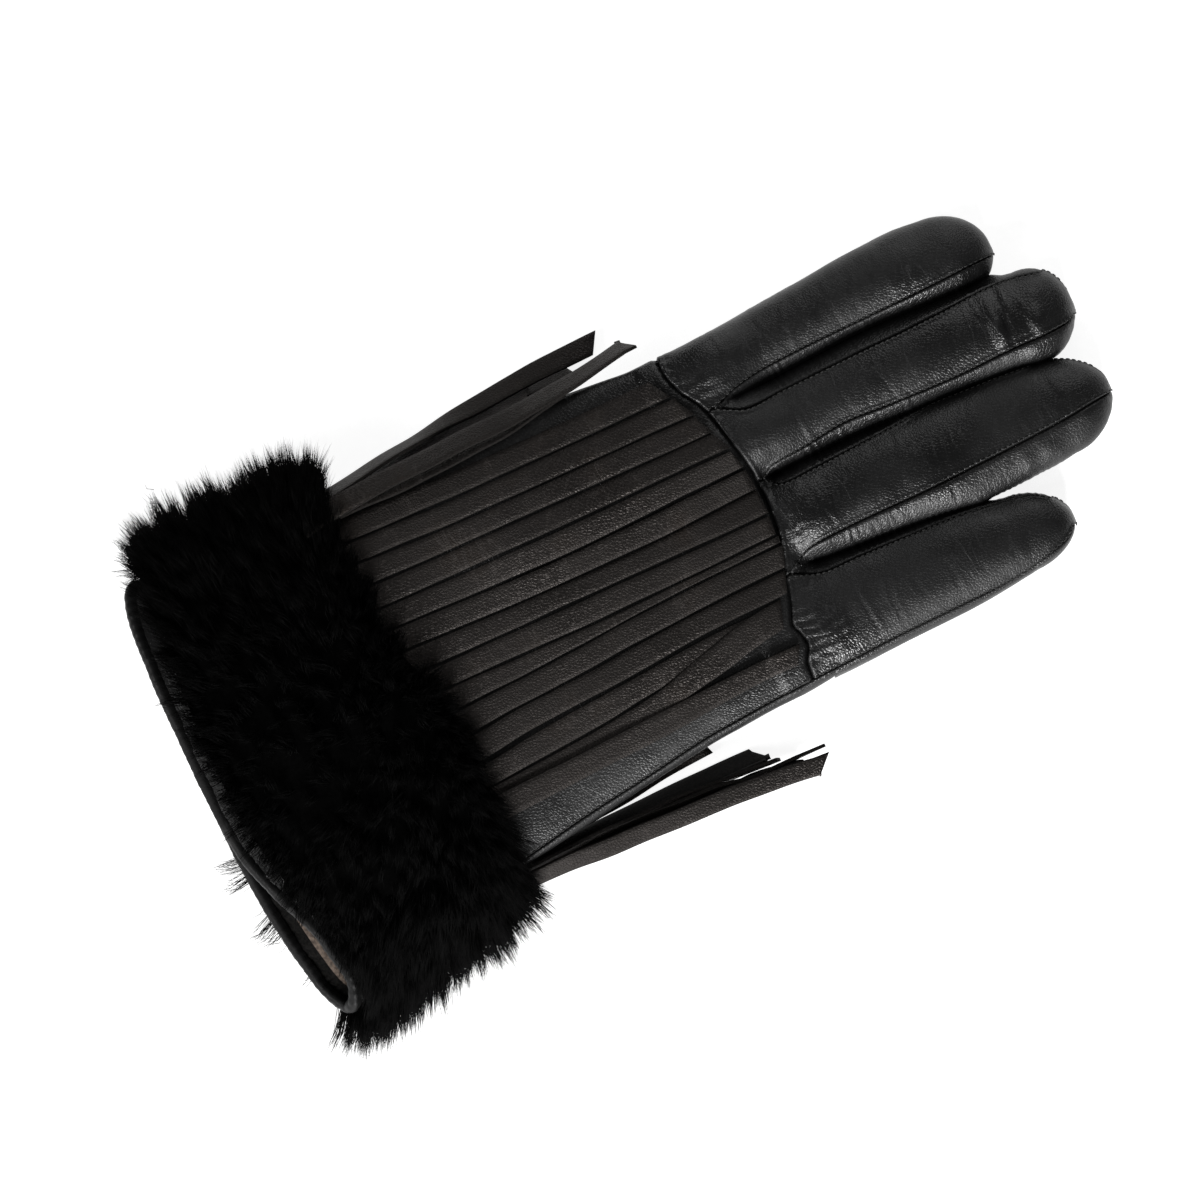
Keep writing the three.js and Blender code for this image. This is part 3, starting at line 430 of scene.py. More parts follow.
def leather_material(name, color, roughness, grain_depth, crease_depth, warmth, specular, tint=(1, 1, 1)):
    """Leather: pore cells and fine creases as bump, with patches of wear in its gloss and colour, and its
    crease lines painted lighter as a painted highlight.
    """
    material, nodes, links, shader, place = new_material(name)

    def cells(scale):
        node = nodes.new("ShaderNodeTexVoronoi")
        node.feature = "DISTANCE_TO_EDGE"
        node.inputs["Scale"].default_value = scale
        links.new(place.outputs["Position"], node.inputs["Vector"])
        return node

    def clouds(scale, detail, distortion=0.0):
        node = nodes.new("ShaderNodeTexNoise")
        node.inputs["Scale"].default_value = scale
        node.inputs["Detail"].default_value = detail
        node.inputs["Distortion"].default_value = distortion
        links.new(place.outputs["Position"], node.inputs["Vector"])
        return node

    def ramp(source, stops):
        node = nodes.new("ShaderNodeValToRGB")
        links.new(source, node.inputs["Fac"])
        while len(node.color_ramp.elements) < len(stops):
            node.color_ramp.elements.new(0.5)
        for element, (at, value) in zip(node.color_ramp.elements, stops):
            element.position = at
            element.color = (*value, 1) if isinstance(value, tuple) else (value, value, value, 1)
        return node.outputs["Color"]

    def bump(height, depth):
        node = nodes.new("ShaderNodeBump")
        node.inputs["Strength"].default_value = 1.0
        node.inputs["Distance"].default_value = depth * MM
        links.new(height, node.inputs["Height"])
        return node

    wear = clouds(70, 3)
    brown = tuple(c * f for c, f in zip(color, (1 + 2 * warmth, 1 + warmth, 1)))
    dim = tuple(c * 0.72 for c in color)
    color_out = ramp(wear.outputs["Fac"], [(0.3, dim), (0.55, color), (0.8, brown)])
    gloss = clouds(45, 4)
    links.new(ramp(gloss.outputs["Fac"], [(0.34, roughness - 0.05), (0.6, roughness + 0.2)]),
              shader.inputs["Roughness"])
    pores = cells(PORE_SCALE)
    pore_out = ramp(pores.outputs["Distance"], [(0.02, 0.0), (0.24, 1.0)])
    stretch = nodes.new("ShaderNodeVectorMath")
    stretch.operation = "MULTIPLY"
    stretch.inputs[1].default_value = (0.32, 1.0, 0.32)
    links.new(place.outputs["Position"], stretch.inputs[0])
    creases = clouds(230, 3, 0.35)
    links.new(stretch.outputs["Vector"], creases.inputs["Vector"])
    line = ramp(creases.outputs["Fac"], [(0.465, 0.0), (0.5, 1.0), (0.535, 0.0)])
    where = ramp(clouds(75, 2).outputs["Fac"], [(0.5, 0.0), (0.62, 1.0)])
    crease_mix = nodes.new("ShaderNodeMath")
    crease_mix.operation = "MULTIPLY"
    links.new(line, crease_mix.inputs[0])
    links.new(where, crease_mix.inputs[1])
    crease_bump_and_highlight = crease_mix.outputs["Value"]
    # Crease lines are painted lighter than the leather beside them: a painted highlight along the creases
    tone = nodes.new("ShaderNodeMix")
    tone.data_type = "RGBA"
    links.new(crease_bump_and_highlight, tone.inputs["Factor"])
    links.new(color_out, tone.inputs["A"])
    tone.inputs["B"].default_value = (*(c * 3 for c in color), 1)
    links.new(tone.outputs["Result"], shader.inputs["Base Color"])
    bump_grain = bump(pore_out, grain_depth)
    bump_crease = bump(crease_bump_and_highlight, crease_depth)
    links.new(bump_grain.outputs["Normal"], bump_crease.inputs["Normal"])
    links.new(bump_crease.outputs["Normal"], shader.inputs["Normal"])
    shader.inputs["Specular IOR Level"].default_value = specular
    shader.inputs["Specular Tint"].default_value = (*tint, 1)
    return material


def cloth_material(name, dark, light, scale, roughness=0.95, depth=0.15, sheen=0.0, glow=0.0,
                   specular=0.2):
    """Cloth, thread, hair, hide, cut edges or floor: two tones of fine fibre with a little bump."""
    material, nodes, links, shader, place = new_material(name)
    fibre = nodes.new("ShaderNodeTexNoise")
    fibre.inputs["Scale"].default_value = scale
    fibre.inputs["Detail"].default_value = 6
    links.new(place.outputs["Position"], fibre.inputs["Vector"])
    tone = nodes.new("ShaderNodeValToRGB")
    tone.color_ramp.elements[0].position, tone.color_ramp.elements[0].color = 0.35, (*dark, 1)
    tone.color_ramp.elements[1].position, tone.color_ramp.elements[1].color = 0.65, (*light, 1)
    links.new(fibre.outputs["Fac"], tone.inputs["Fac"])
    links.new(tone.outputs["Color"], shader.inputs["Base Color"])
    shader.inputs["Specular IOR Level"].default_value = specular
    shader.inputs["Emission Color"].default_value = (1, 1, 1, 1)
    shader.inputs["Emission Strength"].default_value = glow
    bump = nodes.new("ShaderNodeBump")
    bump.inputs["Distance"].default_value = depth * MM
    links.new(fibre.outputs["Fac"], bump.inputs["Height"])
    links.new(bump.outputs["Normal"], shader.inputs["Normal"])
    shader.inputs["Roughness"].default_value = roughness
    shader.inputs["Sheen Weight"].default_value = sheen
    return material


GLOVE_BLACK = (0.0036, 0.0036, 0.0037)
FUR_BLACK = (0.0003, 0.0003, 0.0003)
NAPPA = leather_material("glove_nappa", GLOVE_BLACK, 0.3, 0.042, 0.05, warmth=0.05, specular=0.42)
BINDING = leather_material("binding_nappa", GLOVE_BLACK, 0.42, 0.015, 0.03, warmth=0.05, specular=0.15)
FACING = cloth_material("facing_weave", (0.002, 0.002, 0.002), (0.007, 0.0065, 0.006), 1600, specular=0.1)
FRINGE = leather_material("fringe_grain", (0.0052, 0.0046, 0.0043), 0.46, 0.075, 0.05, warmth=0.3,
                          specular=0.3, tint=(1.0, 0.91, 0.86))
# The cut edges' lighter brown is partly the leather's own tone at a cut and partly a painted highlight along
# every edge
CUT_EDGE_TONE_AND_HIGHLIGHT = cloth_material("cut_edge_tone_and_highlight", (0.0045, 0.004, 0.0038), (0.013, 0.0115, 0.0105), 2400,
                          specular=0.12)
FLESH = cloth_material("leather_flesh_side", (0.004, 0.004, 0.004), (0.010, 0.009, 0.0085), 1800)
THREAD = cloth_material("black_thread", (0.009, 0.009, 0.009), (0.03, 0.03, 0.029), 3000, roughness=0.5)
LINING = cloth_material("lining_cloth_weave", (0.03, 0.022, 0.017), (0.1, 0.076, 0.06), 1100, sheen=0.05)
FUR = cloth_material("fur_hair", FUR_BLACK, (0.002, 0.002, 0.002), 700, roughness=0.8, specular=0.05)
FUR_HIDE = cloth_material("fur_underwool", FUR_BLACK, (0.0008, 0.0008, 0.0008), 900, specular=0.02)
FLOOR = cloth_material("pale_floor", (0.5, 0.5, 0.5), (0.56, 0.56, 0.56), 500, depth=0.05, glow=0.86)


# The glove's leather

MOUTH = {
    "x": [-49, -46, -38, -10, 20, 34, 45, 52, 60, 66],
    "lower": [-99.5, -102.6, -104.6, -105.6, -105.4, -104.6, -103.2, -102.0, -100.2, -97.4],
    "upper": [-99.5, -102.4, -104.2, -105.0, -104.0, -100.0, -95.4, -93.8, -91.8, -93.6],
}
mouth_low, mouth_high = (curve(MOUTH["x"], MOUTH[side]) for side in ("lower", "upper"))
MOUTH_BLEND = 20
SEAM_LEVEL = 40
KNUCKLE_BEND = 16
HAND_LEVELS = np.arange(-104.0, SEAM_LEVEL + 0.1, 1.2)
UNDER_LEFT = math.pi + LOW_SEAM_TURN
UNDER_RIGHT = -LOW_SEAM_TURN

# Creases that the photo shows across the fingers: middle, half length, slant and depth
CREASES = [
    (-40, 61, 6, 0.15, 0.22), (-38, 66, 7, -0.1, 0.26), (-41, 71, 5, 0.1, 0.18), (-39, 79, 7, 0.12, 0.24),
    (-40, 85, 6, -0.05, 0.2), (-41, 93, 6, 0.1, 0.2), (-38, 98.5, 5, -0.12, 0.16), (-40, 50, 5, 0.3, 0.2),
    (-18, 72, 6, 0.2, 0.2), (-19, 78, 6, -0.1, 0.24), (-17, 84, 6, 0.1, 0.26), (-19, 90, 5, -0.15, 0.2),
    (-17.5, 109.8, 7, 0.15, 0.42), (-18, 115.4, 7, -0.1, 0.7), (-17, 119.4, 6, 0.2, 0.45),
    (-18, 104, 5, 0.15, 0.16), (-16, 60, 5, 0.2, 0.2),
    (3, 66, 6, 0.1, 0.18), (2, 78, 7, -0.12, 0.22), (4, 88, 6, 0.1, 0.2), (3, 97, 6, -0.1, 0.18),
    (5, 108, 6, 0.1, 0.3), (6, 113, 6, -0.12, 0.26), (4, 119, 5, 0.12, 0.3), (5, 57, 5, 0.2, 0.22),
    (30, 56, 7, 0.12, 0.26), (31, 63, 7, -0.1, 0.24), (29, 70, 6, 0.1, 0.2), (31, 78, 6, 0.14, 0.22),
    (30, 86, 6, -0.12, 0.2), (31, 94, 5, 0.1, 0.2), (28, 50, 6, -0.2, 0.26), (15, 72, 3, 0.2, 0.2),
]
# A crease's width, its share of the named depth and how far it wanders; then the lip along it
CREASE_WIDTH = 0.36
CREASE_SHARE = 0.7
CREASE_SWAY = 0.7
LIP_AWAY = 0.9
LIP_WIDTH = 0.7
LIP_SHARE = 0.7
# A seam's depth and width, and the ridge of leather beside it
SEAM_DEPTH = 0.5
SEAM_WIDTH = 0.3
RIDGE_AWAY = 0.75
RIDGE_WIDTH = 0.4
# The rows at a tip over which the relief fades, and the share of it that hidden leather has
TIP_FADE = 6
HIDDEN_RELIEF = 0.6

# Swellings between the deeper creases: middle, half width across and along, and height
BULGES = [
    (-17.5, 112.9, 5.5, 1.6, 1.15), (-14.5, 122.0, 4.0, 2.4, 1.25), (-18, 117.6, 5.0, 1.3, 0.5),
    (6, 54, 6, 5, 0.8),
    (-17, 56, 5, 5, 0.7), (15, 112, 3.0, 2.4, 0.5), (15, 106, 3.0, 2.2, 0.4), (35, 72, 3.5, 8, 0.35),
    (35, 96, 3.5, 6, 0.35), (-40, 54, 4, 4, 0.3), (30, 46, 7, 4, 0.5), (8, 70, 3.5, 9, 0.35),
    (-8, 119, 2, 2.2, 0.4),
]


def creased(x, y):
    """Relief of the leather by its place in plan: swellings, the drawn creases and finer ones."""
    relief = 0.24 * noise(x, y, 13, 3.1) + 0.11 * noise(x, 0.55 * y, 5, 8.2) + 0.04 * noise(x, y, 2.2, 1.3)
    for cx, cy, wide, long, height in BULGES:
        relief += height * np.exp(-((x - cx) / wide) ** 2 - ((y - cy) / long) ** 2)
    for cx, cy, half, slant, depth in CREASES:
        along = (x - cx) / half
        off = y - cy - slant * (x - cx) - CREASE_SWAY * noise(x, np.zeros_like(y), 4.5, cy)
        line = np.exp(-(off / CREASE_WIDTH) ** 2) - LIP_SHARE * np.exp(-((off - LIP_AWAY) / LIP_WIDTH) ** 2)
        relief -= CREASE_SHARE * depth * line * np.exp(-along ** 4)
    # The leather is crinkled where the knuckle seam draws it up
    drawn_up = np.exp(-np.abs(y - knuckle_y(x) - 5) / 5) * (0.3 + smooth_step((x + 8) / 10))
    return relief + 0.085 * noise(x, y, 1.5, 6.4) * drawn_up + 0.05 * noise(x, y, 0.95, 3.9) * drawn_up


# Puckers at the knuckle seam: their strength all along it, then the two places where they are stronger,
# by place, half width and strength; their height and how far they run
PUCKERS_EVEN = 0.4
PUCKERS = [(31, 8, 1.5), (-38, 9, 1.0)]
PUCKER_HEIGHT = 0.17
PUCKER_LENGTH = 5.0


def gathered(x, away):
    """Puckers that fan out from the knuckle seam, strongest at its two outer thirds."""
    where = PUCKERS_EVEN
    for centre, wide, strength in PUCKERS:
        where = where + strength * np.exp(-((x - centre) / wide) ** 2)
    wave = np.sin(2.5 * x + 2.4 * noise(x, away, 4, 2.2)) + 0.8 * noise(x, 0.6 * away, 1.5, 7.7)
    return PUCKER_HEIGHT * where * wave * np.exp(-away / PUCKER_LENGTH)


def seam_relief(edge, ridge=0.0):
    """The furrow of a seam by the distance from its edge, with a ridge beside it."""
    furrow = -SEAM_DEPTH * np.exp(-(edge / SEAM_WIDTH) ** 2)
    return furrow + ridge * np.exp(-((edge - RIDGE_AWAY) / RIDGE_WIDTH) ** 2)


def tip_fade(rows):
    """The tip's last rows keep their place, so that the panels still meet there."""
    return np.clip((rows - 1 - np.arange(rows)) / TIP_FADE, 0, 1)[:, None]


def pressed_out(grid, seams, knuckle=False, ridge=0.0, upper=True, ribs=0.0):
    """Moves a grid of the leather along its normals: seams at the named edges, creases and gathers."""
    rows, columns = grid.shape[:2]
    normals = grid_normals(grid)
    step = np.linalg.norm(np.diff(grid, axis=1), axis=2)
    from_first = np.concatenate([np.zeros((rows, 1)), np.cumsum(step, axis=1)], axis=1)
    relief = np.zeros((rows, columns))
    if seams[0]:
        relief += seam_relief(from_first, ridge=ridge)
    if seams[1]:
        relief += seam_relief(from_first[:, -1:] - from_first, ridge=ridge)
    x, y = grid[..., 0], grid[..., 1]
    relief += creased(x, y) * (1 if upper else HIDDEN_RELIEF) * np.minimum(1, grid[..., 2] / 2)
    # A gusset is drawn up by its seams into small ribs across it
    strength = smooth_step(0.5 + noise(np.zeros_like(x), y, 9, 5.5))
    relief += ribs * np.sin(3.6 * y + 2.2 * noise(x, y, 3.0, 9.1)) * strength
    if knuckle:
        away = np.maximum(y - knuckle_y(x), 0)
        relief += gathered(x, away) + seam_relief(away, ridge=0.3)
    moved = grid + normals * (relief * tip_fade(rows))[..., None]
    moved[..., 2] = np.maximum(moved[..., 2], LOWEST)
    return moved, normals


def laid(x, y, z, turn, end=math.inf):
    """Points of the shell, whose upper side runs smoothly into its neighbours as far as an end along it."""
    joined = (np.sin(turn) >= 0) & (y < end)
    z = np.where(joined, np.maximum(z, back_top(x, y)), z)
    return np.stack([x, y, lifted(x, y, z)], axis=2)


def finger_grid(name, y, turn_a, turn_b, columns):
    """A grid over part of a finger: at each y the section from turn_a to turn_b."""
    finger = fingers[name]
    share = np.linspace(0, 1, columns)[None, :]
    turn = mix(turn_a[:, None], turn_b[:, None], share)
    y = np.broadcast_to(y[:, None], turn.shape)
    left, right, bottom, top, centre = finger.size(y)
    x, z = section(left, right, bottom, top, centre, turn, FINGER_CROWN)
    return laid(x, y, z, turn, FINGERS_ALONE)


def crotch_at(name, side):
    for (left, right), place in CROTCHES.items():
        if (side == "right" and left == name) or (side == "left" and right == name):
            return place
    return None


def seam_x(name, side, y):
    """The seam beside a finger's back, held at the crotch below it."""
    curve_at = fingers[name].seam_right if side == "right" else fingers[name].seam_left
    crotch = crotch_at(name, side)
    x = curve_at(y) if crotch is None else np.where(y > crotch[1], curve_at(y), crotch[0])
    return np.where(y > FINGERS_ALONE, fingers[name].within(x, y), x)


def finger_levels(name, first, step=0.5, tip_step=0.75):
    """Where a finger's rows lie: even ones up to where it stands alone, then its own on to the tip."""
    tip = fingers[name].stations(FINGERS_ALONE, tip_step)
    return np.concatenate([np.arange(first, FINGERS_ALONE, step), tip])


def to_knuckle(x, level):
    """Rows bend to follow the knuckle seam at their lower end."""
    return level + (knuckle_y(x) - SEAM_LEVEL) * (1 - smooth_step((level - SEAM_LEVEL) / KNUCKLE_BEND))


BACK_COLUMNS = 44


def back_grid(name):
    level = finger_levels(name, SEAM_LEVEL)
    finger = fingers[name]
    edges = []
    for side in ("right", "left"):
        if side == "left" and finger.seam_left is None:
            y = to_knuckle(np.full(len(level), finger.sides["left"](SEAM_LEVEL)), level)
            edges.append((None, y, np.full(len(level), UNDER_LEFT)))
            continue
        y = level
        for _ in range(ROUNDS):
            x = seam_x(name, side, y)
            y = to_knuckle(x, level)
        edges.append((x, y, finger.turn_at(x, y)))
    (xr, _, turn_r), (xl, _, turn_l) = edges
    share = np.linspace(0, 1, BACK_COLUMNS)[None, :]
    turn = mix(turn_r[:, None], turn_l[:, None], share)
    y = np.broadcast_to(level[:, None], turn.shape)
    for _ in range(ROUNDS):
        left, right, bottom, top, centre = finger.size(y)
        x, z = section(left, right, bottom, top, centre, turn, FINGER_CROWN)
        if xl is not None:
            x = xr[:, None] + (x - x[:, :1]) * ((xl - xr) / (x[:, -1] - x[:, 0]))[:, None]
        else:
            x = x + (xr[:, None] - x[:, :1]) * (1 - share)
        y = to_knuckle(x, level[:, None])
    return laid(x, y, z, turn, FINGERS_ALONE)


def beside_edge(grid, distance, last):
    """The places at a distance from a grid's first or last column, with the surface's normals there."""
    rows = grid[:, ::-1] if last else grid
    steps = np.linalg.norm(np.diff(rows, axis=1), axis=2)
    travel = np.concatenate([np.zeros((len(rows), 1)), np.cumsum(steps, axis=1)], axis=1)
    wide = travel[:, -1] > 4 * distance
    rows, travel = rows[wide], travel[wide]
    places = np.array([[np.interp(distance, far, row[:, k]) for k in range(3)]
                       for far, row in zip(travel, rows)])
    inward = unit(np.array([row[np.searchsorted(far, 2 * distance)] - row[1]
                            for far, row in zip(travel, rows)]))
    along = unit(np.gradient(places, axis=0))
    normals = unit(np.cross(inward, along))
    return places, normals * np.where(normals[:, 2:] < 0, -1, 1)


STITCH_INSET = 0.85
JOIN_REACH = 0.9
sewn_runs = []


def finger_backs():
    grids = []
    for name, finger in fingers.items():
        grid, _ = pressed_out(back_grid(name), (True, finger.seam_left is not None), True, ridge=0.22)
        grids.append(grid)
        sewn_runs.append(beside_edge(grid, STITCH_INSET, last=False))
        if finger.seam_left is not None:
            sewn_runs.append(beside_edge(grid, STITCH_INSET, last=True))
    # Neighbouring backs are one leather below the crotch between them
    for (left, right), (_, crotch_y) in CROTCHES.items():
        a, b = grids[list(fingers).index(left)], grids[list(fingers).index(right)]
        joined = np.arange(min(len(a), len(b)))
        near = np.abs(a[joined, 0, 0] - b[joined, -1, 0]) < JOIN_REACH
        same = joined[near & (a[joined, 0, 1] < crotch_y + 1)]
        a[same, 0] = b[same, -1] = (a[same, 0] + b[same, -1]) / 2
    verts, quads = weld(grids)
    return thicken(verts, quads, LEATHER_THICK)


# Neighbouring fingers lie against each other from the crotch up to these places
TOUCH_END = {("index", "middle"): 116, ("middle", "ring"): 118, ("ring", "little"): 92}
TOUCH_OVERLAP = 0.3
TOUCH_FADE = 4
# A gusset's belly by its share across: it rises from the palm and fades towards the seam on the back
BELLY_RISE = 0.14
BELLY_HOLD = 0.3
BELLY_FADE = 0.5
GUSSET_COLUMNS = 22


def pressed_together(name, side, y, across):
    """How far a gusset's belly is pushed towards its neighbour's, by its share across from the palm."""
    left, right = next(pair for pair in TOUCH_END if pair[0 if side == "right" else 1] == name)
    edges = fingers[left].size(y)[1], fingers[right].size(y)[0]
    middle = (edges[0] + edges[1]) / 2
    push = np.maximum(middle - edges[0], 0) + TOUCH_OVERLAP
    push = push * (1 - smooth_step((y - TOUCH_END[left, right]) / TOUCH_FADE))
    belly = smooth_step(across / BELLY_RISE) * (1 - smooth_step((across - BELLY_HOLD) / BELLY_FADE))
    return push[:, None] * belly[None, :] * (1 if side == "right" else -1)


def gusset(name, side):
    """The strip of leather down one side of a finger, from the seam on its back to the one at the palm."""
    finger = fingers[name]
    crotch = crotch_at(name, side)
    y = finger_levels(name, crotch[1])
    seam = finger.turn_at(seam_x(name, side, y), y)
    low = np.full(len(y), UNDER_RIGHT if side == "right" else UNDER_LEFT)
    ends = (low, seam) if side == "right" else (seam, low)
    plain = finger_grid(name, y, *ends, GUSSET_COLUMNS)
    across = np.linspace(0, 1, GUSSET_COLUMNS)
    plain[..., 0] += pressed_together(name, side, y, across if side == "right" else 1 - across)
    grid, _ = pressed_out(plain, (True, True), ribs=0.14)
    return grid


def fourchette(left, right):
    verts, quads = weld([gusset(left, "right"), gusset(right, "left")])
    return thicken(verts, quads, LEATHER_THICK)


def hand_grid(level, turn_a, turn_b, columns, place_row):
    """A grid over the hand and cuff; place_row bends each row's level to an edge by its x."""
    share = np.linspace(0, 1, columns)[None, :]
    y = np.broadcast_to(level[:, None], (len(level), columns))
    for _ in range(ROUNDS):
        turn = mix(turn_a(y[:, :1]), turn_b(y[:, :1]), share)
        x, z, height = hand_section(y, turn)
        y = place_row(x, level[:, None], height)
    return laid(x, y, z, turn)


def outer_turn(y):
    """Where the outer seam runs round the hand's section."""
    left, right, _, _ = hand_sides(y)
    return np.arccos(np.clip((outer_x(y) - (left + right) / 2) / ((right - left) / 2), -1, WIDEST))


def steady(turn):
    return lambda y: np.full_like(y, turn)


def mouth_level(x, height):
    """How far back the mouth's edge lies, at a share of the height from its lower side to its upper."""
    return mix(mouth_low(x), mouth_high(x), smooth_step(height))


def to_mouth(x, level, height):
    """Rows bend to follow the mouth's edge at the cuff's end."""
    near = 1 - smooth_step((level - HAND_LEVELS[0]) / MOUTH_BLEND)
    return level + (mouth_level(x, height) - HAND_LEVELS[0]) * near


# On the back of the hand: where the rows begin to bend to the knuckle seam, columns, the share of the
# fingers' puckers, and the first row whose stitches show beside the fur
BACK_BEND_FROM = 24
HAND_COLUMNS = 110
PUCKER_SHARE = 0.3
FIRST_SEWN_ROW = 36


def hand_back():
    def place_row(x, level, height):
        bend = smooth_step((level - BACK_BEND_FROM) / (SEAM_LEVEL - BACK_BEND_FROM))
        front = (knuckle_y(x) - SEAM_LEVEL) * bend
        return to_mouth(x, level, height) + front

    grid = hand_grid(HAND_LEVELS, outer_turn, steady(UNDER_LEFT), HAND_COLUMNS, place_row)
    away = np.maximum(knuckle_y(grid[..., 0]) - grid[..., 1], 0)
    moved, normals = pressed_out(grid, (True, False), ridge=0.2)
    moved += normals * (gathered(grid[..., 0], away) * PUCKER_SHARE + seam_relief(away))[..., None]
    sewn_runs.append(beside_edge(moved[FIRST_SEWN_ROW:], STITCH_INSET, last=False))
    return thicken(*weld([moved]), LEATHER_THICK)


# The palm, which is hidden, has coarser rows and columns
PALM_END = 44.0
PALM_OVERLAP = 1.5
PALM_STEP = 1.6
PALM_COLUMNS = 90
PALM_FINGER_STEP = 1.3
PALM_FINGER_COLUMNS = 30


def palm():
    level = np.arange(HAND_LEVELS[0], PALM_END + 0.1, PALM_STEP)
    first = UNDER_LEFT - 2 * math.pi
    grids = [pressed_out(hand_grid(level, steady(first), outer_turn, PALM_COLUMNS, to_mouth),
                         (False, True), upper=False)[0]]
    for name, finger in fingers.items():
        y = finger_levels(name, PALM_END - PALM_OVERLAP, PALM_FINGER_STEP, PALM_FINGER_STEP)
        low_left = np.full(len(y), first)
        outer = name == "little"
        high = finger.turn_at(finger.seam_right(y), y) if outer else np.full(len(y), UNDER_RIGHT)
        seams = (finger.seam_left is not None, True)
        under = finger_grid(name, y, low_left, high, PALM_FINGER_COLUMNS)
        grids.append(pressed_out(under, seams, upper=False)[0])
    return thicken(*weld(grids), LEATHER_THICK)


THUMB = {
    "y": [-34, -25, -12, 6, 22, 34, 39],
    "left": [-43.5, -45.5, -46.3, -45.2, -42.0, -38.8, -36.6],
    "right": [-24.0, -22.5, -22.0, -21.2, -19.8, -19.4, -20.2],
    "top": [7.6, 6.6, 5.6, 5.3, 5.2, 5.1, 4.9],
    "seam_left": None, "seam_right": [(-34, -33), (39, -29)],
    "tip": (-28.0, 44.2), "square": (2.2, 2.2),
}


# The thumb's root stands higher than its tip, where it meets the palm
ROOT_RAISE = 2.4
ROOT_LENGTH = 16
THUMB_COLUMNS = 49
THUMB_SEAM_TURN = math.pi + 0.25
THUMB_SEAM_WIDTH = 0.05
THUMB_SEAM_DEPTH = 0.4


def thumb():
    finger = Finger(THUMB)
    y = finger.stations(THUMB["y"][0], 1.0)
    around = np.linspace(0, 2 * math.pi, THUMB_COLUMNS)
    turn = np.broadcast_to(around, (len(y), len(around)))
    rows = np.broadcast_to(y[:, None], turn.shape)
    left, right, bottom, top, centre = finger.size(rows)
    x, z = section(left, right, bottom, top, centre, turn, FINGER_CROWN)
    raised = ROOT_RAISE * (1 - smooth_step((rows - THUMB["y"][0]) / ROOT_LENGTH))
    grid = np.stack([x, rows, z + raised], axis=2)
    seam_side = np.exp(-((turn - THUMB_SEAM_TURN) / THUMB_SEAM_WIDTH) ** 2)
    relief = creased(x, rows) * HIDDEN_RELIEF * np.minimum(1, grid[..., 2] / 2) - THUMB_SEAM_DEPTH * seam_side
    grid = grid + grid_normals(grid) * relief[..., None] * tip_fade(len(y))[..., None]
    grid[:, -1] = grid[:, 0]
    grid[..., 2] = np.maximum(grid[..., 2], LOWEST)
    return thicken(*weld([grid]), LEATHER_THICK)


def leather_piece(name, mesh, node, material=NAPPA):
    new_piece(name, *mesh, materials=[material], slot="glove_leather", replaced=[node])


leather_piece("finger_back_leather", finger_backs(), "finger_backs")
leather_piece("hand_back_leather", hand_back(), "hand_back")
leather_piece("palm_leather", palm(), "palm")
leather_piece("thumb_leather", thumb(), "thumb")
for pair in CROTCHES:
    leather_piece("gusset_{}_{}".format(*pair), fourchette(*pair), "fourchette_{}_{}".format(*pair))


# The fringe

STRIP_THICK = 0.9
HALF_SLIT = 0.3
GRAIN_FACE, EDGE_FACE, FLESH_FACE = 0, 1, 2
# Lines between the strips on the back, as the photo shows them: x at the places along the hand
SLITS = [
    [(-60, -42.0), (-50, -41.6), (-25, -40.6), (0, -40.2), (31, -40.2)],
    [(-60, -35.9), (-50, -35.5), (-20, -34.5), (0, -34.3), (36, -34.3)],
    [(-60, -30.3), (-50, -30.0), (-20, -28.8), (0, -28.5), (39, -28.3)],
    [(-60, -24.2), (-50, -24.0), (-20, -23.3), (0, -23.0), (41, -22.4)],
    [(-60, -18.2), (-50, -18.0), (-20, -17.5), (0, -17.3), (43, -17.2)],
    [(-60, -12.6), (-50, -12.3), (-20, -11.4), (0, -11.0), (44, -11.9)],
    [(-60, -6.7), (-50, -6.4), (-20, -5.4), (0, -5.0), (20, -5.0), (45, -6.1)],
    [(-60, -0.3), (-50, -0.2), (-20, 0.1), (0, 0.3), (44, 0.8)],
    [(-60, 5.7), (-50, 5.8), (-20, 6.2), (0, 6.5), (45, 6.0)],
    [(-60, 12.3), (-40, 11.6), (-10, 10.2), (10, 9.0), (45, 8.2)],
    [(-60, 19.5), (-38, 17.9), (-30, 17.3), (-10, 16.3), (0, 15.6), (20, 14.6), (42, 14.0)],
    [(-60, 26.8), (-38, 24.6), (-30, 23.8), (-20, 23.1), (-10, 22.5), (0, 22.0), (10, 21.2),
     (20, 20.5), (41, 19.8)],
]
# Each strip between two lines: where it ends, the slant of its cut and how high each long edge stands
BACK_STRIPS = [
    {"end": 33.0, "cut": 1.6, "edges": (0.0, 0.5)}, {"end": 36.6, "cut": 1.5, "edges": (0.0, 0.55)},
    {"end": 38.9, "cut": 1.4, "edges": (0.1, 0.35)}, {"end": 41.2, "cut": 1.1, "edges": (0.0, 0.6)},
    {"end": 42.8, "cut": 0.7, "edges": (0.05, 0.5)}, {"end": 43.9, "cut": 0.3, "edges": (0.0, 0.7)},
    {"end": 44.2, "cut": 0.1, "edges": (-0.4, 0.1)}, {"end": 43.9, "cut": -0.2, "edges": (0.35, 0.4)},
    {"end": 44.0, "cut": -0.1, "edges": (-0.5, -0.3)}, {"end": 43.3, "cut": -0.9, "edges": (0.3, 0.7)},
    {"end": 41.2, "cut": -0.9, "edges": (0.1, 0.8)},
]
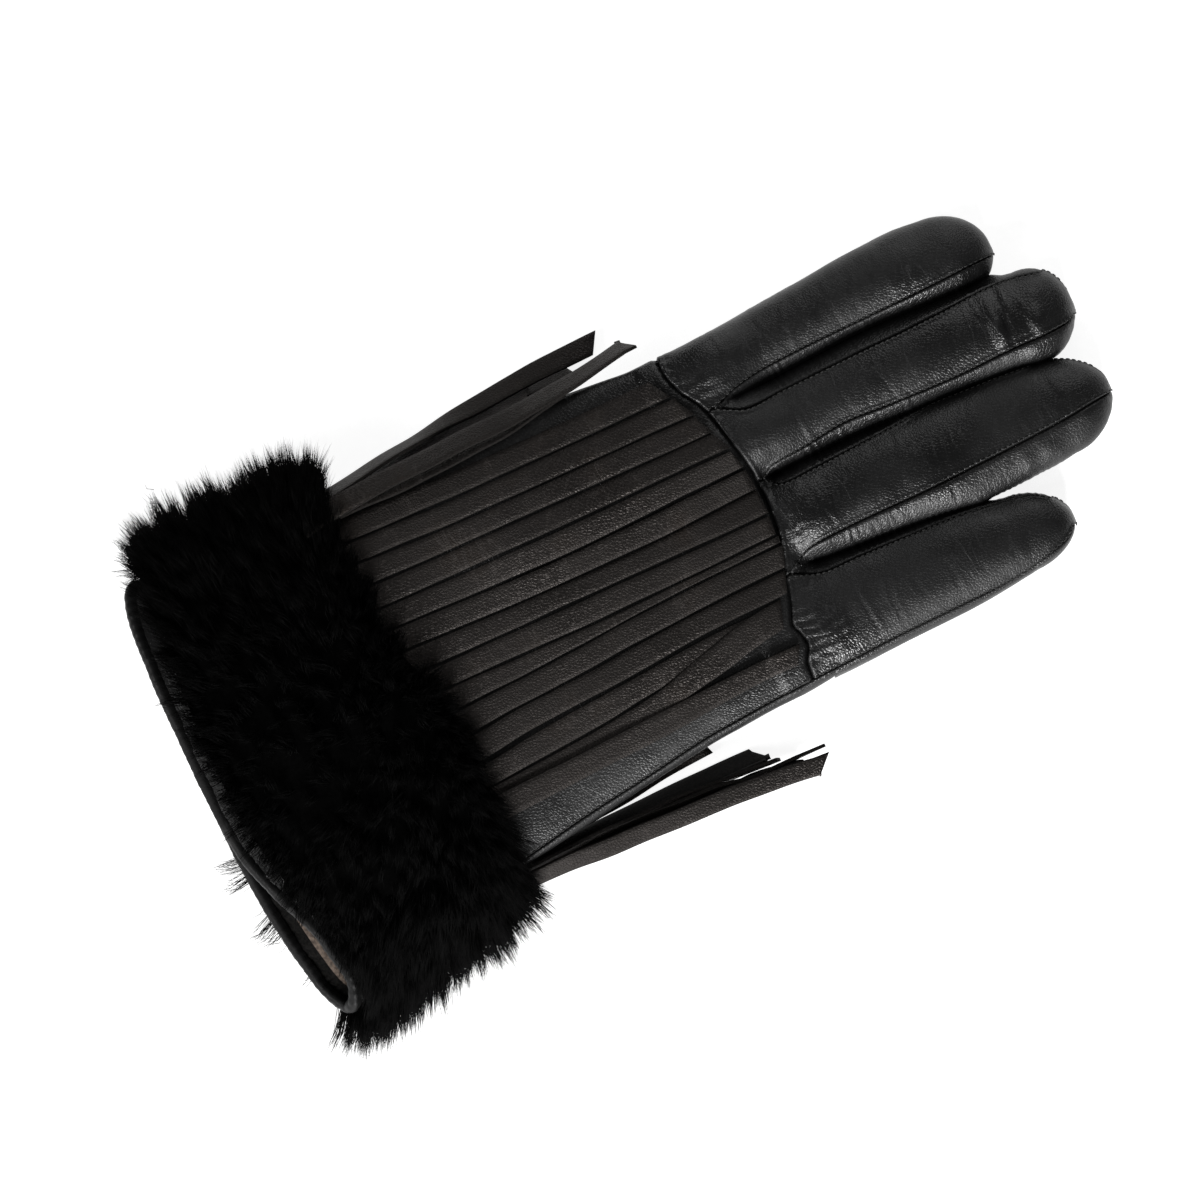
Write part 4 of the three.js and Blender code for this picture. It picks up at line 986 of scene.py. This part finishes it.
# Strips that have swung out of line: their edges at places along them, their end and how high they lie
SWUNG_STRIPS = [
    {"end": 33.0, "cut": -0.5, "edges": (0.0, 0.1), "over": [(-60, 0.2), (33, 0.2)],
     "left": [(-60, 27.2), (-38, 25.4), (-30, 24.4), (-20, 23.5), (-10, 22.8), (0, 22.2), (10, 21.4),
              (20, 20.8), (33, 20.6)],
     "right": [(-60, 33.0), (-38, 31.4), (-30, 30.9), (-20, 30.2), (-10, 29.3), (-2, 28.3), (10, 27.3),
               (33, 25.6)]},
    {"end": 37.1, "cut": -1.1, "edges": (0.0, 0.25), "over": [(-60, 0.1), (-8, 0.2), (6, 0.65), (37, 0.5)],
     "left": [(-60, 32.0), (-38, 31.3), (-20, 30.2), (-10, 29.3), (-2, 28.3), (5, 27.0), (12, 25.0),
              (20, 23.0), (25, 21.7), (30, 20.8), (37, 20.1)],
     "right": [(-60, 37.6), (-20, 36.4), (-10, 35.7), (0, 34.0), (7, 32.5), (12, 31.7), (20, 30.4),
               (28, 28.6), (37, 27.3)]},
    {"end": 36.6, "cut": -1.2, "edges": (0.2, 0.3), "over": [(-60, 1.0), (0, 1.15), (10, 0.7), (37, 0.4)],
     "left": [(-60, 34.0), (-38, 33.5), (-20, 33.1), (-10, 32.6), (0, 32.1), (12, 31.7), (20, 31.5),
              (37, 31.4)],
     "right": [(-60, 41.2), (-38, 40.2), (-20, 39.3), (-10, 38.9), (0, 38.4), (10, 37.6), (20, 36.9),
               (37, 36.6)]},
]
LYING = [(-60, 0.25), (45, 0.25)]
STRIP_START = -58.0
# The row before a strip's cut end keeps this far from it
END_GAP = 0.6
# How far a strip on the back strays to its side and up, and the room under its middle
STRIP_SWAY = 0.16
STRIP_WAVE = 0.28
MIDDLE_ROOM = 0.12
# How far a loose strip rolls and strays, and its room over the floor
ROLL_SWAY = 7
SIDE_SWAY = 0.25
FLOOR_ROOM = 0.06
# Swung strips are numbered from here, so that each has its own waver
SWUNG_NUMBER = 20


def rows_between(first, last, step):
    """Even rows along a strip, and one at its cut end."""
    return np.concatenate([np.arange(first, last - END_GAP, step), [last]])


def at_end(y, cut):
    """The slant of a strip's cut, which only its last row has."""
    return np.where(np.arange(len(y)) == len(y) - 1, cut, 0.0)


def band(centre, across, up, width, thick, ends):
    """A strip with softly rounded long edges: its section is carried along its centre line."""
    half = width[:, None] / 2
    under = [(-1, 0.14), (-0.97, 0.03), (-0.5, 0), (0, 0), (0.5, 0), (0.97, 0.03), (1, 0.14)]
    upper = [(u, 1 - v) for u, v in reversed(under)]
    columns = len(under) + len(upper)
    rings = [centre + across * half * u + up * thick * v + (ends * u)[:, None] * np.array([0, 1, 0])
             for u, v in under + upper]
    rings = np.stack(rings, axis=1)
    rows = len(rings)
    i, j = np.meshgrid(np.arange(rows - 1), np.arange(columns), indexing="ij")
    k = (j + 1) % columns
    quads = np.stack([i * columns + j, i * columns + k, (i + 1) * columns + k, (i + 1) * columns + j], axis=2)
    # Grain side on top, flesh side beneath, and the cut edges between them
    kinds = np.tile([FLESH_FACE] * 6 + [EDGE_FACE] * 2 + [GRAIN_FACE] * 4 + [EDGE_FACE] * 2, rows - 1)
    last = (rows - 1) * columns
    caps = []
    for c in range(len(under) - 1):
        quad = np.array([c, columns - 1 - c, columns - 2 - c, c + 1])
        caps.append(quad)
        caps.append(quad[::-1] + last)
    faces = np.concatenate([quads.reshape(-1, 4), np.array(caps)])
    return rings.reshape(-1, 3), faces, np.concatenate([kinds, np.full(len(caps), EDGE_FACE)])


def joined_bands(parts):
    verts, faces, kinds, start = [], [], [], 0
    for v, f, k in parts:
        verts.append(v)
        faces.append(f + start)
        kinds.append(k)
        start += len(v)
    return np.concatenate(verts), np.concatenate(faces), np.concatenate(kinds)


def back_strip(number, left, right, end, cut, edges, over):
    """A strip on the back of the hand, laid over the leather between its two edges."""
    y = rows_between(STRIP_START, end, 1.3)
    sway = STRIP_SWAY * noise(np.full_like(y, 5.0 * number), y, 11, number)
    x0, x1 = left(y) + HALF_SLIT + sway, right(y) - HALF_SLIT + sway
    over = route(over)(y)
    wave = STRIP_WAVE * noise(np.full_like(y, 9.0 * number), y, 9, 4.2)
    swell = smooth_step((y + 40) / 50)
    z0 = back_height(x0, y) + over + wave + edges[0] * swell
    z1 = back_height(x1, y) + over + wave * 0.6 + edges[1] * swell
    middle = back_height((x0 + x1) / 2, y) + over + MIDDLE_ROOM
    raised = np.maximum(0, middle - (z0 + z1) / 2)
    z0, z1 = z0 + raised, z1 + raised
    centre = np.stack([(x0 + x1) / 2, y, (z0 + z1) / 2], axis=1)
    across = np.stack([x1 - x0, np.zeros_like(y), z1 - z0], axis=1)
    width = np.linalg.norm(across, axis=1)
    across /= width[:, None]
    up = np.stack([-across[:, 2], np.zeros_like(y), across[:, 0]], axis=1)
    return band(centre, across, up, width, STRIP_THICK, at_end(y, cut))


def back_fringe():
    parts = []
    for number, (row, a, b) in enumerate(zip(BACK_STRIPS, SLITS, SLITS[1:])):
        parts.append(back_strip(number + 1, route(a), route(b), over=LYING, **row))
    for number, row in enumerate(SWUNG_STRIPS):
        edges = {side: route(row[side]) for side in ("left", "right")}
        parts.append(back_strip(number + SWUNG_NUMBER, **{**row, **edges}))
    return joined_bands(parts)


# Loose strips at the sides: the slant of the cut, the width, and along each its place, height and roll,
# which is 0 flat and 90 on edge
THUMB_SIDE = [
    {"cut": -1.5, "width": 5.2, "rows": [
        (-58, -46.0, 16.5, 40), (-46, -48.0, 14.0, 62), (-30, -50.3, 9.8, 66), (-20, -51.6, 7.6, 58),
        (-8, -52.6, 5.6, 40), (6, -54.0, 3.6, 22), (15, -54.6, 2.4, 12), (24, -54.8, 1.4, 6)]},
    {"cut": 2.2, "width": 5.4, "rows": [
        (-58, -43.0, 18.4, 20), (-44, -44.6, 18.2, 24), (-20, -45.6, 17.6, 34), (0, -46.3, 16.6, 40),
        (14, -47.6, 14.6, 44), (22, -48.8, 12.6, 48), (30.4, -50.4, 10.2, 50)]},
    {"cut": 1.2, "width": 5.4, "rows": [
        (-58, -43.6, 16.8, 30), (-40, -43.4, 16.4, 34), (-20, -43.4, 15.8, 36), (-4, -44.6, 14.6, 42),
        (11, -46.6, 12.2, 52)]},
    {"cut": 1.0, "width": 5.0, "rows": [
        (-58, -47.6, 9.0, 80), (-40, -49.6, 6.4, 82), (-24, -50.8, 4.4, 70), (-8, -51.0, 3.2, 60),
        (16, -50.4, 2.6, 52)]},
    {"cut": -0.8, "width": 5.6, "rows": [
        (-58, -46.0, 14.4, 64), (-42, -47.4, 11.2, 56), (-28, -48.4, 8.8, 50), (-14, -49.2, 6.8, 50),
        (4, -49.6, 4.8, 50)]},
]
LITTLE_SIDE = [
    {"cut": -2.3, "width": 4.6, "rows": [
        (-58, 55.4, 9.6, -50), (-42, 55.8, 9.4, -34), (-20, 56.9, 8.2, -16), (-5, 57.8, 7.6, -8),
        (8, 58.3, 7.2, -6), (20, 59.2, 6.8, -8), (31.2, 60.7, 6.4, -10)]},
    {"cut": -0.4, "width": 5.4, "rows": [
        (-58, 55.4, 6.0, -80), (-24, 55.6, 3.9, -86), (0, 56.0, 3.6, -88), (18, 56.2, 3.6, -89),
        (33.0, 56.3, 3.6, -90)]},
    {"cut": -0.6, "width": 5.2, "rows": [
        (-58, 54.0, 8.0, -60), (-24, 54.0, 4.8, -58), (-8, 54.6, 4.2, -56), (6, 55.4, 3.9, -66),
        (14, 55.9, 3.6, -94), (26.6, 57.6, 3.5, -90)]},
    {"cut": 0.5, "width": 5.2, "rows": [
        (-58, 53.6, 10.0, -64), (-24, 53.0, 6.0, -74), (0, 53.4, 3.9, -78), (21.8, 54.9, 3.6, -80)]},
    {"cut": -2.2, "width": 5.4, "rows": [
        (-58, 51.5, 6.0, -96), (-24, 51.2, 3.4, -112), (0, 51.4, 3.2, -122), (10, 51.6, 3.0, -128),
        (18, 51.9, 2.7, -134)]},
    {"cut": 0.8, "width": 5.0, "rows": [
        (-58, 52.6, 6.0, -90), (-24, 52.4, 4.0, -92), (0, 52.9, 3.5, -98), (19.5, 53.4, 3.4, -96)]},
    {"cut": 0.8, "width": 4.6, "rows": [
        (-40, 49.2, 3.2, 10), (-20, 47.6, 1.6, 6), (-4, 45.8, 1.0, 4), (7.4, 45.0, 0.9, 4)]},
]


def side_strip(row, number):
    table = np.array(row["rows"], float)
    y = rows_between(table[0, 0], table[-1, 0], 1.2)
    x, z, roll = (curve(table[:, 0], table[:, k])(y) for k in (1, 2, 3))
    roll = np.radians(roll + ROLL_SWAY * noise(np.full_like(y, 3.0 * number), y, 14, number))
    x = x + SIDE_SWAY * noise(np.full_like(y, 7.0 * number), y, 10, 2.0)
    across = np.stack([np.cos(roll), np.zeros_like(y), np.sin(roll)], axis=1)
    up = np.stack([-np.sin(roll), np.zeros_like(y), np.cos(roll)], axis=1)
    width = np.full(len(y), row["width"])
    low = z - np.abs(np.sin(roll)) * width / 2
    z = z + np.maximum(0, FLOOR_ROOM - low)
    return band(np.stack([x, y, z], axis=1), across, up, width, STRIP_THICK, at_end(y, row["cut"]))


def side_fringe(table):
    return joined_bands([side_strip(row, number + 1) for number, row in enumerate(table)])


LEATHER_FACES = [FRINGE, CUT_EDGE_TONE_AND_HIGHLIGHT, FLESH]
for piece_name, (verts, faces, kinds), node in (
        ("back_fringe_strips", back_fringe(), "fringe_back"),
        ("thumb_side_strips", side_fringe(THUMB_SIDE), "fringe_thumb_side"),
        ("little_side_strips", side_fringe(LITTLE_SIDE), "fringe_little_side")):
    new_piece(piece_name, verts, faces, materials=LEATHER_FACES, slot="fringe_leather", replaced=[node],
              face_material=kinds)


# The fur cuff: its hide with dense underwool, and the guard hair in locks

FUR_EDGES = {
    "x": [-49, -25, -5, 8, 22, 40, 56],
    "front_top": [-52.0, -51.5, -49.5, -45.5, -43.5, -45.0, -46.5],
    "front_under": [-53, -52, -51, -50, -50, -49, -49],
    "back_top": [-96.0, -100.0, -101.0, -100.5, -98.0, -93.5, -89.5],
    "back_under": [-96.5, -100.5, -101.5, -101.5, -101.0, -99.5, -98.5],
}
FUR_MIDDLE = -72
PILE = 5.4
FUR_AROUND = 240
FUR_OUTER_ROWS = 42
FUR_INNER_ROWS = 10
# Lowest heights of the wool, a hair and a hair's root, above the floor
FUR_LOWEST = 0.15
HAIR_LOWEST = 0.25
ROOT_LOWEST = 0.3
fur_edge = {side: curve(FUR_EDGES["x"], FUR_EDGES[side]) for side in FUR_EDGES if side != "x"}


def fur_surface(turn, share, reach):
    """A place on the cuff by its turn round the wrist, share from front to back edge and reach outward."""
    x0, _, _ = hand_section(FUR_MIDDLE, turn)
    upper = smooth_step(0.5 + 1.2 * np.sin(turn))
    front = mix(fur_edge["front_under"](x0), fur_edge["front_top"](x0), upper)
    y = mix(front, mix(fur_edge["back_under"](x0), fur_edge["back_top"](x0), upper), share)
    x, z, _ = hand_section(y, turn, -reach)
    return np.stack([x, y, np.maximum(z, FUR_LOWEST)], axis=-1)


def fur_reach(turn, share):
    """How far the underwool stands off the leather, lumpy and thin at its two edges."""
    ends = np.minimum(1, 0.42 + 3.2 * np.minimum(share, 1 - share))
    lumps = 1 + 0.16 * noise(turn * 26, share * 46, 4.5, 3.3) + 0.1 * noise(turn * 26, share * 46, 1.8, 6.1)
    return PILE * ends * lumps


def fur_base():
    turn = np.linspace(0, 2 * math.pi, FUR_AROUND + 1)[:-1]
    share = np.linspace(0, 1, FUR_OUTER_ROWS)
    grid_turn, grid_share = np.meshgrid(turn, share, indexing="ij")
    outer = fur_surface(grid_turn, grid_share, fur_reach(grid_turn, grid_share))
    inner_share = np.linspace(1, 0, FUR_INNER_ROWS)
    inner_turn, inner_at = np.meshgrid(turn, inner_share, indexing="ij")
    inner = fur_surface(inner_turn, inner_at, mix(2.0, 0.5, smooth_step((inner_at - 0.36) / 0.26)))
    rings = np.concatenate([outer, inner], axis=1)
    return rings.reshape(-1, 3), ring_quads(*rings.shape[:2])


# Locks of hair by zone: their range round the wrist in half turns and from front to back, how many locks,
# hairs in each, and length
HAIR_ZONES = {
    "fur_hair_back": ((0.16, 0.84), (0.0, 1.0), 640, 20, 8.0),
    "fur_hair_thumb_side": ((0.78, 1.12), (0.0, 1.0), 560, 22, 9.5),
    "fur_hair_little_side": ((-0.12, 0.24), (0.0, 1.0), 560, 22, 10.5),
    "fur_hair_front": ((0.03, 0.97), (0.0, 0.12), 350, 20, 7.0),
    "fur_hair_mouth": ((0.03, 0.97), (0.88, 1.0), 350, 18, 5.5),
}


def hair_mesh(root, middle, tip, width, rng):
    """Each hair is a three-sided spike with one bend, closed at its root."""
    count = len(root)
    along = unit(tip - root)
    helper = unit(rng.normal(size=(count, 3)))
    side = unit(np.cross(along, helper))
    other = np.cross(along, side)
    rings = []
    for centre, size in ((root, 1.0), (middle, 0.8)):
        for k in range(3):
            turn = 2 * math.pi * k / 3
            spoke = side * math.cos(turn) + other * math.sin(turn)
            rings.append(centre + spoke * (width * size / 2)[:, None])
    rings.append(tip)
    verts = np.stack(rings, axis=1).reshape(-1, 3)
    base = (np.arange(count) * 7)[:, None]
    quads = np.concatenate([base + [a, (a + 1) % 3, 3 + (a + 1) % 3, 3 + a] for a in range(3)])
    tris = np.concatenate([base + [3 + a, 3 + (a + 1) % 3, 6] for a in range(3)] + [base + [2, 1, 0]])
    return verts, quads, tris


def hair_zone(name, turns, shares, locks, hairs, length):
    rng = np.random.default_rng(SEED + len(name) + locks)
    turn = rng.uniform(*turns, locks) * math.pi
    share = rng.uniform(*shares, locks)
    reach = fur_reach(turn, share) * 0.86
    seat = fur_surface(turn, share, reach)
    out = unit(fur_surface(turn, share, reach + 1.0) - seat)
    back = unit(fur_surface(turn, np.minimum(share + 0.02, 1.04), reach) - seat)
    # Locks part along the cuff: forward at its front edge, towards the mouth at its back edge
    parting = np.clip((share - 0.5) * 2, -1, 1)
    right_side = smooth_step((np.cos(turn) - 0.2) / 0.8)
    left_side = smooth_step((-np.cos(turn) - 0.4) / 0.6)
    along = 0.9 * parting ** 3 + 0.75 * right_side * smooth_step(share * 1.6) - 0.1 * left_side
    top = np.clip(np.sin(turn), 0, 1)
    aside = np.stack([0.55 * np.cos(turn), -0.25 * top, np.zeros(locks)], axis=1)
    flow = back * along[:, None] + aside
    wild = rng.normal(0, 0.26, (locks, 3))
    aim = unit(out * (0.75 + 0.35 * (left_side + right_side))[:, None] + flow + wild)
    size = length * rng.uniform(0.62, 1.2, locks) * (1 + 0.25 * (left_side + right_side))
    size = size * np.where(seat[:, 2] < 4, 0.55, 1.0)
    # The pile lies short beside the open end of the mouth
    open_end = smooth_step((seat[:, 0] - 38) / 5) * smooth_step((-87 - seat[:, 1]) / 3)
    open_end = open_end * (np.sin(turn) > 0.15)
    size = size * (1 - 0.62 * open_end)
    lock = np.repeat(np.arange(locks), hairs)
    count = len(lock)
    spread = rng.normal(0, 0.85, (count, 3))
    spread -= out[lock] * np.sum(spread * out[lock], axis=1, keepdims=True)
    root = seat[lock] + spread - out[lock] * 1.2
    own = size[lock] * rng.uniform(0.62, 1.08, count)
    gather = rng.uniform(0.15, 0.75, count)[:, None]
    tip = seat[lock] + aim[lock] * own[:, None] + spread * (1 - gather) + rng.normal(0, 0.35, (count, 3))
    tip[:, 2] -= 0.012 * own ** 2 * (1 - np.abs(aim[lock][:, 2]))
    bow = rng.normal(0, 0.3, (count, 3))
    middle = (root + tip) / 2 + out[lock] * (0.09 * own)[:, None] + bow
    tip[:, 2] = np.maximum(tip[:, 2], HAIR_LOWEST)
    middle[:, 2] = np.maximum(middle[:, 2], HAIR_LOWEST)
    root[:, 2] = np.maximum(root[:, 2], ROOT_LOWEST)
    width = rng.uniform(0.13, 0.24, count)
    return hair_mesh(root, middle, tip, width, rng)


# Tufts of long hair that stand out past the cuff, most of them at its mouth: where each starts and ends,
# its spread and its number of hairs
TUFTS = [((24.0, -104.5), (21.5, -116.0), 1.0, 34), ((26.5, -104.5), (27.5, -116.5), 1.0, 34),
         ((38.0, -103.5), (42.5, -115.5), 1.2, 34), ((42.0, -102.5), (45.0, -113.0), 1.2, 26),
         ((-63.0, -88.0), (-66.5, -91.5), 1.5, 14), ((52.0, -100.0), (56.5, -108.0), 1.6, 12)]


def tufts():
    rng = np.random.default_rng(SEED)
    roots, middles, tips, widths = [], [], [], []
    for (x0, y0), (x1, y1), spread, count in TUFTS:
        share = rng.uniform(0.55, 1.0, (count, 1))
        root = np.array([x0, y0, 2.6]) + rng.normal(0, 1, (count, 3)) * [spread, 0.4, 0.5]
        away = np.array([x1 - x0, y1 - y0, -1.6]) * share
        middle = root + away * 0.5 + rng.normal(0, 0.35, (count, 3)) + [0.5, 0, 0.6]
        tip = root + away + rng.normal(0, 1, (count, 3)) * [spread * 0.9, 0.6, 0.2]
        roots.append(root)
        middles.append(middle)
        tips.append(tip)
        widths.append(rng.uniform(0.12, 0.2, count))
    hairs = [np.concatenate(part) for part in (roots, middles, tips)]
    for part in hairs:
        part[:, 2] = np.maximum(part[:, 2], HAIR_LOWEST)
    return hair_mesh(*hairs, np.concatenate(widths), rng)


verts, quads = fur_base()
new_piece("fur_underwool", verts, quads, materials=[FUR_HIDE], slot="fur", replaced=["fur_cuff"])
for zone_name, zone in HAIR_ZONES.items():
    verts, quads, tris = hair_zone(zone_name, *zone)
    new_piece(zone_name, verts, quads, tris, materials=[FUR], slot="fur")
verts, quads, tris = tufts()
new_piece("fur_tufts", verts, quads, tris, materials=[FUR], slot="fur")


# The glove's mouth: the rolled edge, the dark facing inside it and the lining

ROLL_RADIUS = 1.65
ROLL_INSET = 1.1
ROLL_COLUMNS = 420
ROLL_SIDES = 18
TUBE_COLUMNS = 240
TUBE_ROWS = 12
LINING_INSET = 1.5


def mouth_path(count, inset):
    """Points round the mouth, from the little finger's side over the back of the hand."""
    turn = np.linspace(0, 2 * math.pi, count + 1)[:-1]
    level = np.full(count, (mouth_low(0.0) + mouth_high(0.0)) / 2)
    for _ in range(ROUNDS):
        x, z, height = hand_section(level, turn, inset)
        level = mouth_level(x, height)
    return turn, np.stack([x, level, z], axis=1)


def mouth_roll():
    """The shell's edge rolled inward round the mouth, with small puckers."""
    _, path = mouth_path(ROLL_COLUMNS, ROLL_INSET)
    tangent = unit(np.roll(path, -1, axis=0) - np.roll(path, 1, axis=0))
    out = np.broadcast_to([0.0, -1.0, 0.0], path.shape)
    out = unit(out - tangent * np.sum(out * tangent, axis=1, keepdims=True))
    side = np.cross(tangent, out)
    turn = np.linspace(0, 2 * math.pi, ROLL_SIDES + 1)[:-1]
    along, round_it = np.meshgrid(travel_along(path), turn, indexing="ij")
    radius = ROLL_RADIUS * (1 + 0.07 * noise(along, round_it * 2, 3.0, 2.1) + 0.035 * np.sin(2.9 * along))
    radius = radius * (1 - 0.16 * np.exp(-((np.cos(round_it) + 0.55) / 0.12) ** 2))
    rings = (path[:, None] + out[:, None] * (radius * np.cos(round_it))[..., None]
             + side[:, None] * (radius * np.sin(round_it))[..., None])
    rings[..., 2] = np.maximum(rings[..., 2], LOWEST)
    return rings.reshape(-1, 3), ring_quads(ROLL_COLUMNS, ROLL_SIDES)


def inner_tube(inset, start, end, thick, ribbed):
    """A sleeve inside the cuff, between two depths from the mouth, that faces inward."""
    turn, path = mouth_path(TUBE_COLUMNS, inset)
    depth = np.linspace(start, end, TUBE_ROWS)[None, :]
    y = path[:, 1:2] + depth
    x, z, _ = hand_section(y, np.broadcast_to(turn[:, None], y.shape), inset)
    grid = np.stack([x, y, z], axis=2)
    grid = np.concatenate([grid, grid[:1]], axis=0)
    # The last column is the first one again
    around = np.append(travel_along(path), 0.0)[:, None]
    relief = 0.3 * noise(around, depth, 5.0, 1.7)
    if ribbed:
        relief = relief + 0.22 * np.sin(3.4 * around + 1.5 * noise(around, depth, 4.0, 3.3))
    grid = grid + grid_normals(grid) * relief[..., None]
    grid[-1] = grid[0]
    return thicken(*weld([grid]), thick)


FACING_START = 0.5
FACING_DEPTH = 4.0
FACING_OVERLAP = 1.0
FACING_THICK = 0.5
LINING_STEP = 0.75
LINING_THICK = 0.6
TUBE_END = 46.0
leather_piece("rolled_edge", mouth_roll(), "mouth_roll", BINDING)
facing_mesh = inner_tube(LINING_INSET, FACING_START, FACING_DEPTH + FACING_OVERLAP, FACING_THICK, True)
leather_piece("facing_band", facing_mesh, "facing", FACING)
lining_mesh = inner_tube(LINING_INSET + LINING_STEP, FACING_DEPTH, TUBE_END, LINING_THICK, False)
new_piece("lining_sleeve", *lining_mesh, materials=[LINING], slot="lining_cloth", replaced=["lining"])


# Stitches along the seams

STITCH = {"pitch": 1.45, "long": 1.0, "wide": 0.4, "deep": 0.36, "lift": 0.09}


def stitches(places, directions, normals):
    """Short threads pressed into the leather, round and tapered at both ends."""
    profile = [(-0.5, 0.12), (-0.42, 0.7), (-0.2, 1.0), (0.2, 1.0), (0.42, 0.7), (0.5, 0.12)]
    sides = 6
    across = unit(np.cross(normals, directions))
    rings = []
    for along, size in profile:
        for k in range(sides):
            turn = 2 * math.pi * k / sides
            rings.append(places + directions * along * STITCH["long"]
                         + across * (math.cos(turn) * size * STITCH["wide"] / 2)
                         + normals * (math.sin(turn) * size * STITCH["deep"] / 2))
    verts = np.stack(rings, axis=1).reshape(-1, 3)
    count = len(profile) * sides
    body, caps = [], []
    for i in range(len(profile) - 1):
        for k in range(sides):
            n = (k + 1) % sides
            body.append([i * sides + k, (i + 1) * sides + k, (i + 1) * sides + n, i * sides + n])
    last = (len(profile) - 1) * sides
    for k in range(1, sides - 1):
        caps.append([0, k, k + 1])
        caps.append([last, last + k + 1, last + k])
    base = (np.arange(len(places)) * count)[:, None]
    quads = np.concatenate([base + row for row in body])
    tris = np.concatenate([base + row for row in caps])
    return verts, quads, tris


def spaced(run):
    """A seam's stitches: places one pitch apart along its run, with their directions."""
    places, normals = run
    travel = travel_along(places)
    at = np.arange(STITCH["pitch"], travel[-1] - STITCH["pitch"], STITCH["pitch"])
    here, ahead, up = (np.stack([np.interp(t, travel, part[:, k]) for k in range(3)], axis=1)
                       for t, part in ((at, places), (at + STITCH["long"] / 2, places), (at, normals)))
    directions = unit(ahead - here)
    up = unit(up - directions * np.sum(up * directions, axis=1, keepdims=True))
    return here + up * STITCH["lift"], directions, up


seams = [spaced(run) for run in sewn_runs]
verts, quads, tris = stitches(*(np.concatenate([seam[k] for seam in seams]) for k in range(3)))
new_piece("seam_stitches", verts, quads, tris, materials=[THREAD], slot="glove_leather")


# Floor, light and camera

def light(name, place, size, power):
    """A square lamp that looks at the glove."""
    data = bpy.data.lights.new(name, "AREA")
    data.shape = "RECTANGLE"
    data.size, data.size_y = size, size
    data.energy = power
    lamp = bpy.data.objects.new(name, data)
    bpy.context.scene.collection.objects.link(lamp)
    lamp.location = place
    lamp.rotation_mode = "QUATERNION"
    lamp.rotation_quaternion = (-Vector(place)).to_track_quat("-Z", "Y")


FLOOR_SIZE = 3.0
FLOOR_DROP = 0.0001
ROOM_LIGHT = 0.12
corners = np.array([[-1, -1, 0], [1, -1, 0], [1, 1, 0], [-1, 1, 0]]) * FLOOR_SIZE / 2
floor_mesh = bpy.data.meshes.new("pale_floor")
floor_mesh.from_pydata([tuple(c) for c in corners], [], [(0, 1, 2, 3)])
floor_mesh.materials.append(FLOOR)
floor = bpy.data.objects.new("pale_floor", floor_mesh)
bpy.context.scene.collection.objects.link(floor)
floor.location.z = -FLOOR_DROP

light("key_softbox", (1.15, -0.35, 0.62), 0.5, 33)
light("cuff_end_softbox", (0.1, -1.2, 0.72), 0.6, 9)
light("fill_softbox", (-0.9, 0.6, 0.6), 0.9, 4)

world = bpy.data.worlds.new("soft_room")
world.use_nodes = True
world.node_tree.nodes["Background"].inputs["Color"].default_value = (1, 1, 1, 1)
world.node_tree.nodes["Background"].inputs["Strength"].default_value = ROOM_LIGHT
bpy.context.scene.world = world
bpy.context.scene.view_settings.view_transform = "Standard"

# The photo looks straight down. Its upright runs across the glove: the fingertips point to the right
# and a little up. Its frame is 288 mm wide at the height of the glove's back.
PHOTO_TURN = math.radians(65)
PHOTO_WIDTH = 0.288
PHOTO_CENTRE = (0.0022, -0.0010)
CAMERA_HEIGHT = 1.1
VIEW_LEVEL = 0.010
SENSOR = 36.0

camera_data = bpy.data.cameras.new("camera")
camera_data.sensor_width = SENSOR
camera_data.lens = SENSOR * (CAMERA_HEIGHT - VIEW_LEVEL) / PHOTO_WIDTH
camera_data.clip_start, camera_data.clip_end = 0.01, 10
camera = bpy.data.objects.new("camera", camera_data)
bpy.context.scene.collection.objects.link(camera)
camera.location = (*PHOTO_CENTRE, CAMERA_HEIGHT)
camera.rotation_euler = (0, 0, PHOTO_TURN)
bpy.context.scene.camera = camera
